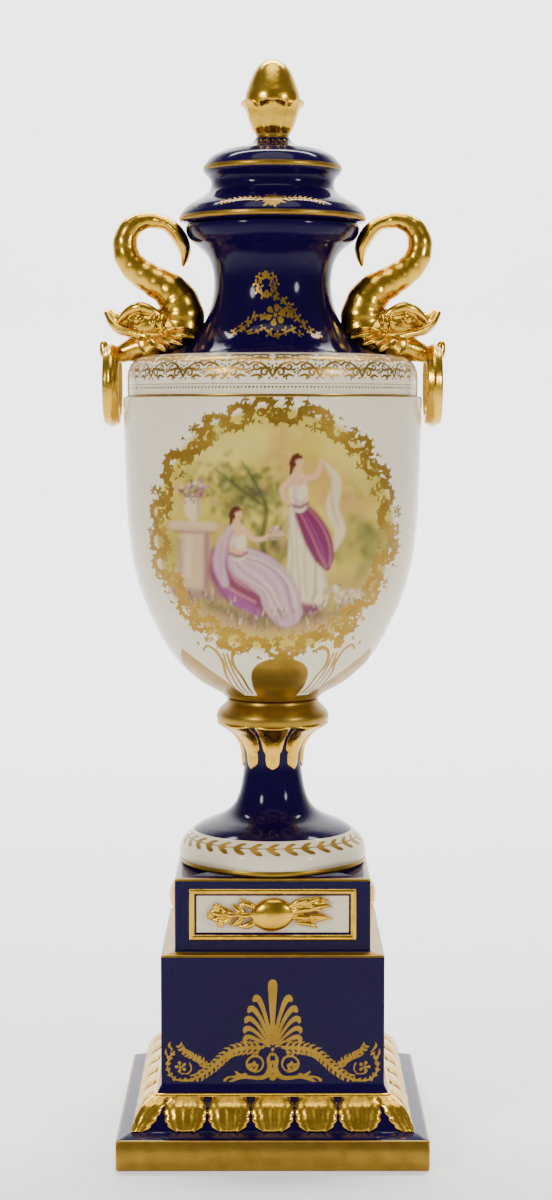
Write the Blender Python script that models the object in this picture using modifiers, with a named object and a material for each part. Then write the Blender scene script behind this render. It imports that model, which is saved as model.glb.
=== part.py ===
# Lidded porcelain urn with two dolphin handles, on a round foot and a stepped square plinth.
# Metres, +Z up. The origin is the centre of the plinth's underside, and the front faces -Y.

import math

import bmesh
import bpy
from mathutils import Vector

MM = 0.001

# Clearance kept between pieces that rest on one another
SEAT_GAP = 0.3 * MM

# Plinth: base slab, leaf moulding, lower block and upper block, slip-cast as one shell
BASE_WIDTH = 168.6 * MM
BASE_HEIGHT = 16.8 * MM
LEDGE_WIDTH = 154.0 * MM
LEDGE_RISE = 2.0 * MM
MOULDING_TOP_WIDTH = 126.5 * MM
MOULDING_HEIGHT = 17.6 * MM
FILLET_HEIGHT = 5.1 * MM
LOWER_BLOCK_WIDTH = 121.6 * MM
LOWER_BLOCK_HEIGHT = 70.8 * MM
UPPER_BLOCK_WIDTH = 106.8 * MM
UPPER_BLOCK_HEIGHT = 40.4 * MM
PLINTH_WALL = 5.5 * MM
EDGE_SOFTNESS = 1.2 * MM

# Leaves that hang over the moulding
LEAVES_PER_SIDE = 5
LEAF_GAP = 1.6 * MM
LEAF_RELIEF = 2.2 * MM
LEAF_EDGE_SHARE = 0.45
LEAF_SLOPE = 0.8
CORNER_LEAF_SHARE = 0.62

# Framed panel on each face of the upper block
FRAME_WIDTH = 91.4 * MM
FRAME_HEIGHT = 28.6 * MM
FRAME_BAND = 3.9 * MM
FRAME_RELIEF = 0.9 * MM
PANEL_DEPTH = 1.3 * MM
PANEL_MIDDLE = 20.6 * MM
FRUIT_WIDTH = 24.0 * MM
FRUIT_HEIGHT = 18.4 * MM
FRUIT_RELIEF = 6.5 * MM
FRUIT_SUNK_SHARE = 0.3
SPRIG_REACH = 37.0 * MM
SPRIG_RELIEF = 3.0 * MM

# Foot: round disc, stem and gilt collar, slip-cast as one open shell, from the bottom up
FOOT_RIM_RADIUS = 51.9 * MM
FOOT_RIM_RISE = 4.5 * MM
FOOT_RADIUS = 53.0 * MM
FOOT_SIDE_RISE = 2.5 * MM
FOOT_SHOULDER_RADIUS = 36.0 * MM
FOOT_SHOULDER_RISE = 16.5 * MM
STEM_RADIUS = 16.2 * MM
STEM_RISE = 30.0 * MM
COLLAR_FLARE_RADIUS = 29.0 * MM
COLLAR_FLARE_RISE = 23.0 * MM
COLLAR_RADIUS = 31.6 * MM
COLLAR_CURVE_RISE = 6.9 * MM
COLLAR_TOP_RADIUS = 25.4 * MM
COLLAR_TOP_RISE = 9.1 * MM
FOOT_WALL = 4.2 * MM
COLLAR_LEAVES = 8
COLLAR_LEAF_RELIEF = 1.7 * MM
COLLAR_LEAF_SHARE = 0.86

# Vase: bowl, shoulder band, neck and rim, from the bottom up
BOWL_FOOT_RADIUS = 25.2 * MM
BOWL_FLOOR = 6.0 * MM
BOWL_BELLY_RADIUS = 82.0 * MM
BOWL_BELLY_RISE = 124.2 * MM
BOWL_RADIUS = 83.2 * MM
BOWL_SIDE_RISE = 44.0 * MM
BOWL_FULLNESS = 1.87
BAND_INSET = 2.4 * MM
BAND_STEP_RISE = 1.4 * MM
BAND_RISE = 15.2 * MM
SHOULDER_RADIUS = 66.5 * MM
SHOULDER_RISE = 7.9 * MM
NECK_RADIUS = 32.5 * MM
NECK_RISE = 38.4 * MM
RIM_FLARE_RADIUS = 43.6 * MM
RIM_FLARE_RISE = 23.5 * MM
RIM_RADIUS = 48.3 * MM
RIM_CURVE_RISE = 7.4 * MM
RIM_SIDE = 3.0 * MM
VASE_WALL = 5.0 * MM
MOUTH_DEPTH = 5.6 * MM

# Lid: flange, lower dome, upper dome and bud finial, from the bottom up
FLANGE_CLEARANCE = 0.9 * MM
FLANGE_DEPTH = 4.4 * MM
LID_WALL = 4.0 * MM
LID_RADIUS = 51.8 * MM
LID_OVERHANG_LIFT = 1.3 * MM
LID_EDGE_BEVEL = 0.7 * MM
LID_EDGE = 2.6 * MM
LID_DOME_RADIUS = 40.4 * MM
LID_DOME_RISE = 10.0 * MM
LID_WAIST_RADIUS = 34.1 * MM
LID_WAIST_RISE = 7.5 * MM
LID_CAP_RADIUS = 38.5 * MM
LID_CAP_RISE = 8.4 * MM
LID_CAP_EDGE = 1.4 * MM
LID_CONE_RADIUS = 14.0 * MM
LID_CONE_RISE = 12.0 * MM
FINIAL_WAIST_RADIUS = 8.6 * MM
FINIAL_WAIST_RISE = 5.2 * MM
BUD_RADIUS = 14.9 * MM
PETAL_RADIUS = 18.3 * MM
PETALS = 6
BUD_HEIGHT = 41.9 * MM

# Dolphin handles: how far they stand out from the vase's axis, and their own size
HANDLE_REACH = 88.6 * MM
SNOUT_BEYOND = 4.8 * MM
DOLPHIN_HEIGHT = 86.0 * MM
RING_BEYOND = 0.7 * MM
RING_RADIUS = 19.6 * MM
RING_WIDTH = 10.0 * MM
RING_DEPTH = 7.2 * MM

# Smoothness
VASE_SIDES = 28
LID_SIDES = 22
FOOT_SIDES = 22
HEAD_SIDES = 10
RING_SIDES = 6
RING_TURNS = 16
MERGE = 0.02 * MM

COBALT = (0.012, 0.010, 0.105)
IVORY = (0.78, 0.74, 0.66)
GLOSS = 0.12

BAND_RADIUS = BOWL_RADIUS - BAND_INSET

# Heights of the plinth's steps above the origin
MOULDING_BOTTOM = BASE_HEIGHT + LEDGE_RISE
MOULDING_TOP = MOULDING_BOTTOM + MOULDING_HEIGHT
BLOCK_BOTTOM = MOULDING_TOP + FILLET_HEIGHT
BLOCK_TOP = BLOCK_BOTTOM + LOWER_BLOCK_HEIGHT
PLINTH_TOP = BLOCK_TOP + UPPER_BLOCK_HEIGHT

# Heights on the foot
FOOT_BOTTOM = PLINTH_TOP + SEAT_GAP
FOOT_EDGE = FOOT_BOTTOM + FOOT_RIM_RISE + FOOT_SIDE_RISE
FOOT_SHOULDER = FOOT_EDGE + FOOT_SHOULDER_RISE
STEM_WAIST = FOOT_SHOULDER + STEM_RISE
COLLAR_FLARE = STEM_WAIST + COLLAR_FLARE_RISE
COLLAR_WIDEST = COLLAR_FLARE + COLLAR_CURVE_RISE
FOOT_TOP = COLLAR_WIDEST + COLLAR_TOP_RISE

# Heights on the vase
VASE_BOTTOM = FOOT_TOP + SEAT_GAP
BOWL_BELLY = VASE_BOTTOM + BOWL_BELLY_RISE
BOWL_TOP = BOWL_BELLY + BOWL_SIDE_RISE
BAND_TOP = BOWL_TOP + BAND_RISE
SHOULDER = BAND_TOP + SHOULDER_RISE
NECK_WAIST = SHOULDER + NECK_RISE
RIM_FLARE = NECK_WAIST + RIM_FLARE_RISE
RIM_LOW = RIM_FLARE + RIM_CURVE_RISE
VASE_TOP = RIM_LOW + RIM_SIDE

# Heights on the lid
LID_BOTTOM = VASE_TOP + SEAT_GAP
LID_EDGE_TOP = LID_BOTTOM + LID_OVERHANG_LIFT + LID_EDGE
LID_DOME = LID_EDGE_TOP + LID_DOME_RISE
LID_WAIST = LID_DOME + LID_WAIST_RISE
LID_CAP = LID_WAIST + LID_CAP_RISE
LID_CONE = LID_CAP + LID_CAP_EDGE + LID_CONE_RISE
FINIAL_WAIST = LID_CONE + FINIAL_WAIST_RISE


def clear_scene():
    for obj in list(bpy.data.objects):
        bpy.data.objects.remove(obj, do_unlink=True)


def make_collection(name):
    collection = bpy.data.collections.new(name)
    bpy.context.scene.collection.children.link(collection)
    return collection


def make_material(name, colour):
    material = bpy.data.materials.new(name)
    material.use_nodes = True
    shader = material.node_tree.nodes["Principled BSDF"]
    shader.inputs["Base Color"].default_value = (*colour, 1.0)
    shader.inputs["Roughness"].default_value = GLOSS
    return material


def add_object(name, mesh, collection):
    obj = bpy.data.objects.new(name, mesh)
    collection.objects.link(obj)
    return obj


# The evaluated mesh of an object takes the place of its live modifiers or curve
def bake(obj, collection):
    bpy.context.view_layer.update()
    evaluated = obj.evaluated_get(bpy.context.evaluated_depsgraph_get())
    mesh = bpy.data.meshes.new_from_object(evaluated)
    name, matrix = obj.name, obj.matrix_world.copy()
    bpy.data.objects.remove(obj, do_unlink=True)
    shape = bmesh.new()
    shape.from_mesh(mesh)
    bmesh.ops.remove_doubles(shape, verts=shape.verts, dist=MERGE)
    bmesh.ops.recalc_face_normals(shape, faces=shape.faces)
    shape.to_mesh(mesh)
    shape.free()
    result = add_object(name, mesh, collection)
    result.matrix_world = matrix
    return result


# Joins a list of pieces to the target in one go, or cuts them out of it
def combine(target, pieces, operation):
    operands = make_collection(f"{target.name}_{operation.lower()}")
    for piece in pieces:
        piece.hide_render = True
        piece.display_type = "WIRE"
        operands.objects.link(piece)
    modifier = target.modifiers.new("combine", "BOOLEAN")
    modifier.operation = operation
    modifier.solver = "EXACT"
    modifier.operand_type = "COLLECTION"
    modifier.collection = operands
    result = bake(target, target.users_collection[0])
    for piece in pieces:
        bpy.data.objects.remove(piece, do_unlink=True)
    bpy.data.collections.remove(operands)
    return result


# A run of a turned outline: each move is (radius, height) for a straight line, or
# (radius, height, way, fullness, steps) for a quarter oval that leaves "level" or "upright"
def outline(start, *moves):
    points = [start]
    for move in moves:
        if len(move) == 2:
            points.append(move)
            continue
        radius, height, way, fullness, steps = move
        from_radius, from_height = points[-1]
        for step in range(1, steps + 1):
            turn = math.pi / 2 * step / steps
            early = math.sin(turn) ** (2 / fullness)
            late = 1 - math.cos(turn) ** (2 / fullness)
            across, along = (early, late) if way == "level" else (late, early)
            points.append((from_radius + (radius - from_radius) * across,
                           from_height + (height - from_height) * along))
    return points


def turned(name, points, sides, closed, collection):
    count = len(points)
    edges = [(i, i + 1) for i in range(count - 1)]
    if closed:
        edges.append((count - 1, 0))
    mesh = bpy.data.meshes.new(name)
    mesh.from_pydata([(radius, 0, height) for radius, height in points], edges, [])
    obj = add_object(name, mesh, collection)
    screw = obj.modifiers.new("turn", "SCREW")
    screw.steps = screw.render_steps = sides
    screw.use_merge_vertices = True
    screw.merge_threshold = MERGE
    return bake(obj, collection)


# A closed skin through rings of points, all with the same count
def lofted(name, rings, collection):
    count = len(rings[0])
    vertices = [point for ring in rings for point in ring]
    faces = []
    for r in range(len(rings) - 1):
        for i in range(count):
            j = (i + 1) % count
            faces.append((r * count + i, r * count + j, (r + 1) * count + j, (r + 1) * count + i))
    faces.append(tuple(range(count)))
    faces.append(tuple(range(len(vertices) - count, len(vertices))))
    mesh = bpy.data.meshes.new(name)
    mesh.from_pydata(vertices, [], faces)
    return bake(add_object(name, mesh, collection), collection)


def oval_ring(centre, along, across, half_long, half_wide, sides):
    return [centre + along * (half_long * math.cos(2 * math.pi * i / sides))
            + across * (half_wide * math.sin(2 * math.pi * i / sides)) for i in range(sides)]


# A leaf laid on a surface, with its rib proud: each row is (middle, across, outward, half width),
# and edge is the share of the relief that its two edges keep
def leaf(name, rows, relief, edge, depth, collection):
    rings = []
    for middle, across, outward, half in rows:
        back = [middle - across * half - outward * depth, middle + across * half - outward * depth]
        edges = [middle + across * (sign * half) + outward * relief * edge for sign in (1, -1)]
        rib = middle + outward * relief
        rings.append([*back, edges[0], rib, edges[1]] if edge else [*back, rib])
    return lofted(name, rings, collection)


# A smooth path through key points (position and radius), read at even steps between them
def smooth_path(keys, steps):
    ends = [keys[0], *keys, keys[-1]]
    path = []
    for i in range(1, len(ends) - 2):
        a, b, c, d = ends[i - 1:i + 3]
        for step in range(steps):
            t = step / steps
            path.append(tuple(
                0.5 * (2 * b[k] + (c[k] - a[k]) * t + (2 * a[k] - 5 * b[k] + 4 * c[k] - d[k]) * t * t
                       + (3 * b[k] - a[k] - 3 * c[k] + d[k]) * t ** 3) for k in range(len(b))))
    path.append(tuple(keys[-1]))
    return path


# A tapered tube along points (x, y, z, radius)
def tube(name, keys, steps, sides_level, collection):
    curve = bpy.data.curves.new(name, "CURVE")
    curve.dimensions = "3D"
    curve.bevel_depth = MM
    curve.bevel_resolution = sides_level
    curve.use_fill_caps = True
    path = smooth_path(keys, steps)
    spline = curve.splines.new("POLY")
    spline.points.add(len(path) - 1)
    for point, (x, y, z, radius) in zip(spline.points, path):
        point.co = (x, y, z, 1)
        point.radius = radius / MM
    return bake(add_object(name, curve, collection), collection)


def ball(name, centre, size, collection, segments=10, rings=6):
    shape = bmesh.new()
    bmesh.ops.create_uvsphere(shape, u_segments=segments, v_segments=rings, radius=1.0)
    bmesh.ops.scale(shape, vec=Vector(size) / 2, verts=shape.verts)
    bmesh.ops.translate(shape, vec=Vector(centre), verts=shape.verts)
    mesh = bpy.data.meshes.new(name)
    shape.to_mesh(mesh)
    shape.free()
    return bake(add_object(name, mesh, collection), collection)


def block(name, low, high, collection):
    shape = bmesh.new()
    bmesh.ops.create_cube(shape, size=1.0)
    low, high = Vector(low), Vector(high)
    bmesh.ops.scale(shape, vec=high - low, verts=shape.verts)
    bmesh.ops.translate(shape, vec=(low + high) / 2, verts=shape.verts)
    mesh = bpy.data.meshes.new(name)
    shape.to_mesh(mesh)
    shape.free()
    return bake(add_object(name, mesh, collection), collection)


# A square ring with its corners cut back
def square_ring(width, height):
    half, cut = width / 2, EDGE_SOFTNESS
    near = half - cut
    corners = [(half, near), (near, half), (-near, half), (-half, near),
               (-half, -near), (-near, -half), (near, -half), (half, -near)]
    return [Vector((x, y, height)) for x, y in corners]


# Width of the moulding under the leaves, at a share of its height: a swelling ovolo
def moulding_half(share):
    low, high = LEDGE_WIDTH / 2 - LEAF_RELIEF, MOULDING_TOP_WIDTH / 2 - LEAF_RELIEF / 2
    return high + (low - high) * math.cos(math.pi / 2 * share ** 1.35)


def plinth_shell(collection):
    soft = EDGE_SOFTNESS
    outer = [(BASE_WIDTH - 2 * soft, 0), (BASE_WIDTH, soft), (BASE_WIDTH, BASE_HEIGHT - soft),
             (BASE_WIDTH - 2 * soft, BASE_HEIGHT), (LEDGE_WIDTH, MOULDING_BOTTOM)]
    for share in (0.0, 0.35, 0.7, 1.0):
        outer.append((2 * moulding_half(share), MOULDING_BOTTOM + MOULDING_HEIGHT * share))
    outer += [(MOULDING_TOP_WIDTH, MOULDING_TOP), (LOWER_BLOCK_WIDTH, BLOCK_BOTTOM),
              (LOWER_BLOCK_WIDTH, BLOCK_TOP - soft), (LOWER_BLOCK_WIDTH - 2 * soft, BLOCK_TOP),
              (UPPER_BLOCK_WIDTH, BLOCK_TOP), (UPPER_BLOCK_WIDTH, PLINTH_TOP - soft),
              (UPPER_BLOCK_WIDTH - 2 * soft, PLINTH_TOP)]
    wall = 2 * PLINTH_WALL
    inner = [(UPPER_BLOCK_WIDTH - wall, PLINTH_TOP - PLINTH_WALL),
             (UPPER_BLOCK_WIDTH - wall, BLOCK_TOP - PLINTH_WALL),
             (LOWER_BLOCK_WIDTH - wall, BLOCK_TOP - PLINTH_WALL),
             (LOWER_BLOCK_WIDTH - wall, MOULDING_TOP - PLINTH_WALL),
             (LEDGE_WIDTH - wall - 2 * LEAF_RELIEF, BASE_HEIGHT - PLINTH_WALL),
             (BASE_WIDTH - wall, BASE_HEIGHT - PLINTH_WALL), (BASE_WIDTH - wall, 0)]
    rings = [square_ring(width, height) for width, height in inner + outer]
    return lofted("plinth", rings, collection)


# The four faces of a block: the direction across a face, and the direction out of it
def faces():
    for turn in range(4):
        angle = turn * math.pi / 2
        yield Vector((math.cos(angle), math.sin(angle), 0)), Vector((math.sin(angle), -math.cos(angle), 0))


# Half widths of a moulding leaf from its top to its tip, as shares of the widest
LEAF_LOBES = ((1.0, 0.72), (0.55, 1.0), (0.2, 0.76), (0.0, 0.24))


def moulding_leaves(collection):
    pitch = (MOULDING_TOP_WIDTH - LEAF_GAP) / LEAVES_PER_SIDE
    pieces = []
    for side, (across, outward) in enumerate(faces()):
        slope = (outward + Vector((0, 0, LEAF_SLOPE))).normalized()
        for i in range(LEAVES_PER_SIDE):
            place = (i - (LEAVES_PER_SIDE - 1) / 2) * pitch
            rows = []
            for share, width in LEAF_LOBES:
                middle = (across * place + outward * moulding_half(share)
                          + Vector((0, 0, MOULDING_BOTTOM + MOULDING_HEIGHT * share)))
                rows.append((middle, across, slope, width * (pitch - LEAF_GAP) / 2))
            pieces.append(leaf(f"leaf_{side}_{i}", rows, LEAF_RELIEF, LEAF_EDGE_SHARE,
                               LEAF_RELIEF, collection))
        corner_out = (outward + across).normalized()
        corner_slope = (corner_out + Vector((0, 0, LEAF_SLOPE))).normalized()
        corner_across = (across - outward).normalized()
        rows = []
        for share, width in LEAF_LOBES:
            half = moulding_half(share)
            middle = (across + outward) * (half - EDGE_SOFTNESS / 2)
            middle = middle + Vector((0, 0, MOULDING_BOTTOM + MOULDING_HEIGHT * share))
            rows.append((middle, corner_across, corner_slope, width * pitch / 2 * CORNER_LEAF_SHARE))
        pieces.append(leaf(f"corner_leaf_{side}", rows, LEAF_RELIEF, LEAF_EDGE_SHARE,
                           1.6 * LEAF_RELIEF, collection))
    return pieces


# A box on a face of the upper block: its width and height there, and its two depths from the axis
def face_box(name, across, outward, width, height, low, high, collection):
    middle = BLOCK_TOP + PANEL_MIDDLE
    a = across * (-width / 2) + outward * low + Vector((0, 0, middle - height / 2))
    b = across * (width / 2) + outward * high + Vector((0, 0, middle + height / 2))
    corners = [Vector(map(pick, a, b)) for pick in (min, max)]
    return block(name, *corners, collection)


def frames(collection):
    face = UPPER_BLOCK_WIDTH / 2
    return [face_box(f"frame_{side}", across, outward, FRAME_WIDTH, FRAME_HEIGHT,
                     face - PLINTH_WALL / 4, face + FRAME_RELIEF, collection)
            for side, (across, outward) in enumerate(faces())]


def panels(collection):
    face = UPPER_BLOCK_WIDTH / 2
    return [face_box(f"panel_{side}", across, outward, FRAME_WIDTH - 2 * FRAME_BAND,
                     FRAME_HEIGHT - 2 * FRAME_BAND, face - PANEL_DEPTH, face + 2 * FRAME_RELIEF, collection)
            for side, (across, outward) in enumerate(faces())]


# Half widths of a sprig's leaf from its stalk to its tip, as shares of the fruit's height
SPRIG_LOBES = ((0, 0.10), (0.4, 0.24), (0.75, 0.19), (1, 0.05))
# Lean and share of the full reach of the two leaves at each end of the fruit
SPRIG_LEAVES = ((0.30, 0.82), (-0.32, 1.0))


# The fruit in the middle of each panel, with leaves to both sides
def fruit_and_sprigs(collection):
    ground = UPPER_BLOCK_WIDTH / 2 - PANEL_DEPTH
    up = Vector((0, 0, 1))
    heart = up * (BLOCK_TOP + PANEL_MIDDLE)
    pieces = []
    for side, (across, outward) in enumerate(faces()):
        thick = FRUIT_RELIEF / (1 - FRUIT_SUNK_SHARE / 2)
        size = across * FRUIT_WIDTH + outward * thick + up * FRUIT_HEIGHT
        place = outward * (ground + FRUIT_RELIEF - thick / 2) + heart
        pieces.append(ball(f"fruit_{side}", place, [abs(value) for value in size], collection, 10, 4))
        for end in (-1, 1):
            for i, (lean, length) in enumerate(SPRIG_LEAVES):
                start = across * (end * FRUIT_WIDTH / 3) + outward * ground + heart
                way = (across * end + up * lean).normalized()
                run = (SPRIG_REACH - FRUIT_WIDTH / 3) * length
                rows = [(start + way * run * share, way.cross(outward), outward, width * FRUIT_HEIGHT)
                        for share, width in SPRIG_LOBES]
                pieces.append(leaf(f"sprig_{side}_{end}_{i}", rows, SPRIG_RELIEF, 0,
                                   PANEL_DEPTH / 3, collection))
    return pieces


def make_plinth(model, cutters):
    plinth = plinth_shell(model)
    plinth = combine(plinth, moulding_leaves(cutters) + frames(cutters), "UNION")
    plinth = combine(plinth, panels(cutters), "DIFFERENCE")
    return combine(plinth, fruit_and_sprigs(cutters), "UNION")


# Half widths of a collar leaf from its tip to its root, as shares of the widest
COLLAR_LEAF_LOBES = (0.22, 0.60, 0.58, 0.78, 0.96)


def collar_leaf_rows(angle):
    outward = Vector((math.cos(angle), math.sin(angle), 0))
    across = Vector((-math.sin(angle), math.cos(angle), 0))
    flare = outline((STEM_RADIUS, STEM_WAIST),
                    (COLLAR_FLARE_RADIUS, COLLAR_FLARE, "upright", 2, len(COLLAR_LEAF_LOBES) - 1))
    widest = math.pi * COLLAR_FLARE_RADIUS / COLLAR_LEAVES * COLLAR_LEAF_SHARE
    rows = []
    for i, (radius, height) in enumerate(flare):
        before, after = flare[max(i - 1, 0)], flare[min(i + 1, len(flare) - 1)]
        tangent = Vector((after[0] - before[0], after[1] - before[1])).normalized()
        away = outward * tangent[1] - Vector((0, 0, tangent[0]))
        middle = outward * radius + Vector((0, 0, height))
        rows.append((middle, across, away, widest * COLLAR_LEAF_LOBES[i]))
    return rows


def make_foot(model, cutters):
    wall = FOOT_WALL
    outer = outline(
        (COLLAR_TOP_RADIUS, FOOT_TOP),
        (COLLAR_RADIUS, COLLAR_WIDEST, "level", 2, 2),
        (COLLAR_FLARE_RADIUS, COLLAR_FLARE, "upright", 2, 2),
        (STEM_RADIUS, STEM_WAIST, "level", 2, 3),
        (FOOT_SHOULDER_RADIUS, FOOT_SHOULDER, "upright", 2, 4),
        (FOOT_RADIUS, FOOT_EDGE, "level", 1.65, 3),
        (FOOT_RADIUS, FOOT_EDGE - FOOT_SIDE_RISE),
        (FOOT_RIM_RADIUS, FOOT_BOTTOM))
    inner = outline(
        (FOOT_RIM_RADIUS - wall, FOOT_BOTTOM),
        (FOOT_RADIUS - wall, FOOT_EDGE - wall / 2),
        (FOOT_SHOULDER_RADIUS - wall / 2, FOOT_SHOULDER - wall, "upright", 1.65, 2),
        (STEM_RADIUS - wall, STEM_WAIST, "level", 2, 2),
        (COLLAR_FLARE_RADIUS - wall, COLLAR_FLARE + wall / 2, "upright", 2, 2),
        (COLLAR_TOP_RADIUS - wall, FOOT_TOP))
    foot = turned("foot", outer + inner, FOOT_SIDES, True, model)
    leaves = [leaf(f"collar_leaf_{i}", collar_leaf_rows(2 * math.pi * (i + 0.5) / COLLAR_LEAVES),
                   COLLAR_LEAF_RELIEF, LEAF_EDGE_SHARE, COLLAR_LEAF_RELIEF, cutters)
              for i in range(COLLAR_LEAVES)]
    return combine(foot, leaves, "UNION")


def vase_shell(collection):
    wall = VASE_WALL
    floor = VASE_BOTTOM + BOWL_FLOOR
    inner = outline(
        (0, floor),
        (BOWL_FOOT_RADIUS - 2 * wall, floor),
        (BOWL_BELLY_RADIUS - wall, BOWL_BELLY, "level", BOWL_FULLNESS, 4),
        (BAND_RADIUS - wall, BOWL_TOP),
        (SHOULDER_RADIUS - wall / 2, SHOULDER - wall, "upright", 2, 2),
        (NECK_RADIUS - wall, NECK_WAIST, "level", 2, 2),
        (RIM_RADIUS - wall, VASE_TOP - MOUTH_DEPTH, "upright", 2, 2),
        (RIM_RADIUS - wall, VASE_TOP))
    outer = outline(
        (RIM_RADIUS, VASE_TOP),
        (RIM_RADIUS, RIM_LOW),
        (RIM_FLARE_RADIUS, RIM_FLARE, "upright", 2, 2),
        (NECK_RADIUS, NECK_WAIST, "level", 2, 3),
        (SHOULDER_RADIUS, SHOULDER, "upright", 2, 4),
        (BAND_RADIUS, BAND_TOP, "level", 2, 2),
        (BAND_RADIUS, BOWL_TOP + BAND_STEP_RISE),
        (BOWL_RADIUS, BOWL_TOP),
        (BOWL_BELLY_RADIUS, BOWL_BELLY),
        (BOWL_FOOT_RADIUS, VASE_BOTTOM, "upright", BOWL_FULLNESS, 7),
        (0, VASE_BOTTOM))
    return turned("vase", inner + outer, VASE_SIDES, False, collection)


# The dolphin's spine, in shares of its height: the reach beyond its anchor, the drop below the rim
# and the radius. The tail is anchored to the rim, the arch to the handle's reach, the breast to the neck
TAIL = ((0.010, 0.216, 0.026), (0.015, 0.142, 0.045), (0.045, 0.063, 0.048), (0.108, 0.010, 0.051),
        (0.183, -0.026, 0.052))
ARCH = ((-0.216, -0.034, 0.057), (-0.144, -0.007, 0.065), (-0.098, 0.042, 0.072), (-0.079, 0.105, 0.079),
        (-0.086, 0.170, 0.085), (-0.126, 0.240, 0.090), (-0.193, 0.298, 0.095), (-0.274, 0.349, 0.102))
BREAST = ((0.299, 0.407, 0.113), (0.236, 0.484, 0.126), (0.208, 0.570, 0.137), (0.213, 0.651, 0.138),
          (0.234, 0.721, 0.128))
# Sections of the head from the breast to the snout: reach beyond the snout, drops of the top and
# the underside, and half width
HEAD = ((-0.563, 0.535, 0.779, 0.105), (-0.435, 0.547, 0.820, 0.157), (-0.324, 0.542, 0.826, 0.174),
        (-0.220, 0.507, 0.802, 0.179), (-0.150, 0.530, 0.756, 0.151), (-0.098, 0.570, 0.728, 0.121),
        (-0.042, 0.549, 0.681, 0.100), (0.000, 0.565, 0.616, 0.058))
# The lower jaw, which curls up outside the ring: reach beyond the snout, drop and radius
JAW = ((-0.226, 0.727, 0.060), (-0.133, 0.814, 0.053), (-0.063, 0.856, 0.047), (0.000, 0.826, 0.040),
       (0.014, 0.772, 0.031))
# The breast fin: reach beyond the snout, distance to the side, drop and radius
FIN = ((-0.540, 0.105, 0.698, 0.056), (-0.412, 0.180, 0.779, 0.053), (-0.295, 0.215, 0.831, 0.040),
       (-0.197, 0.221, 0.860, 0.019))
# The eye: reach beyond the snout, distance to the side, drop, and its length, thickness and height
EYE = (-0.228, 0.153, 0.608, 0.116, 0.081, 0.105)
# How far below the rim the jaw holds the ring
RING_HOLD = 0.8


def dolphin_spine():
    keys = []
    for anchor, part in ((RIM_RADIUS, TAIL), (HANDLE_REACH, ARCH), (NECK_RADIUS, BREAST)):
        for share in part:
            reach, drop, radius = [value * DOLPHIN_HEIGHT for value in share]
            keys.append((anchor + reach, 0, VASE_TOP - drop, radius))
    return keys


def dolphin_head(collection):
    snout = HANDLE_REACH + SNOUT_BEYOND
    rings = []
    for reach, top, under, half in HEAD:
        centre = Vector((snout + reach * DOLPHIN_HEIGHT, 0, VASE_TOP - (top + under) / 2 * DOLPHIN_HEIGHT))
        rings.append(oval_ring(centre, Vector((0, 0, 1)), Vector((0, 1, 0)),
                               (under - top) / 2 * DOLPHIN_HEIGHT, half * DOLPHIN_HEIGHT, HEAD_SIDES))
    return lofted("head", rings, collection)


def dolphin_jaw(collection):
    snout = HANDLE_REACH + SNOUT_BEYOND
    keys = [(snout + reach * DOLPHIN_HEIGHT, 0, VASE_TOP - drop * DOLPHIN_HEIGHT, radius * DOLPHIN_HEIGHT)
            for reach, drop, radius in JAW]
    return tube("jaw", keys, 2, 1, collection)


# An eye and a breast fin on one side of the head
def dolphin_side(side, collection):
    snout = HANDLE_REACH + SNOUT_BEYOND
    reach, out, drop, *size = [share * DOLPHIN_HEIGHT for share in EYE]
    eye = ball(f"eye_{side}", (snout + reach, side * out, VASE_TOP - drop), size, collection, 7, 4)
    keys = [(snout + reach * DOLPHIN_HEIGHT, side * out * DOLPHIN_HEIGHT, VASE_TOP - drop * DOLPHIN_HEIGHT,
             radius * DOLPHIN_HEIGHT) for reach, out, drop, radius in FIN]
    return [eye, tube(f"fin_{side}", keys, 1, 1, collection)]


def fluted_ring(collection):
    rings = []
    drop = RING_HOLD * DOLPHIN_HEIGHT + RING_RADIUS
    centre = Vector((HANDLE_REACH + RING_BEYOND, 0, VASE_TOP - drop))
    for i in range(RING_TURNS):
        angle = 2 * math.pi * i / RING_TURNS
        outward = Vector((0, math.sin(angle), math.cos(angle)))
        rings.append(oval_ring(centre + outward * RING_RADIUS, outward, Vector((1, 0, 0)),
                               RING_DEPTH / 2, RING_WIDTH / 2, RING_SIDES))
    vertices = [point for ring in rings for point in ring]
    skin = []
    for i in range(RING_TURNS):
        near, far = i * RING_SIDES, (i + 1) % RING_TURNS * RING_SIDES
        for k in range(RING_SIDES):
            after = (k + 1) % RING_SIDES
            skin.append((near + k, near + after, far + after, far + k))
    mesh = bpy.data.meshes.new("ring")
    mesh.from_pydata(vertices, [], skin)
    return bake(add_object("ring", mesh, collection), collection)


def dolphin(collection):
    body = tube("dolphin", dolphin_spine(), 1, 2, collection)
    pieces = [dolphin_head(collection), dolphin_jaw(collection), fluted_ring(collection)]
    pieces += dolphin_side(-1, collection) + dolphin_side(1, collection)
    return combine(body, pieces, "UNION")


def mirrored(obj, name, collection):
    mesh = obj.data.copy()
    shape = bmesh.new()
    shape.from_mesh(mesh)
    for vertex in shape.verts:
        vertex.co.x = -vertex.co.x
    bmesh.ops.reverse_faces(shape, faces=shape.faces)
    shape.to_mesh(mesh)
    shape.free()
    return add_object(name, mesh, collection)


def make_vase(model, cutters):
    vase = vase_shell(model)
    right = dolphin(cutters)
    left = mirrored(right, "dolphin_left", cutters)
    return combine(vase, [left, right], "UNION")


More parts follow.
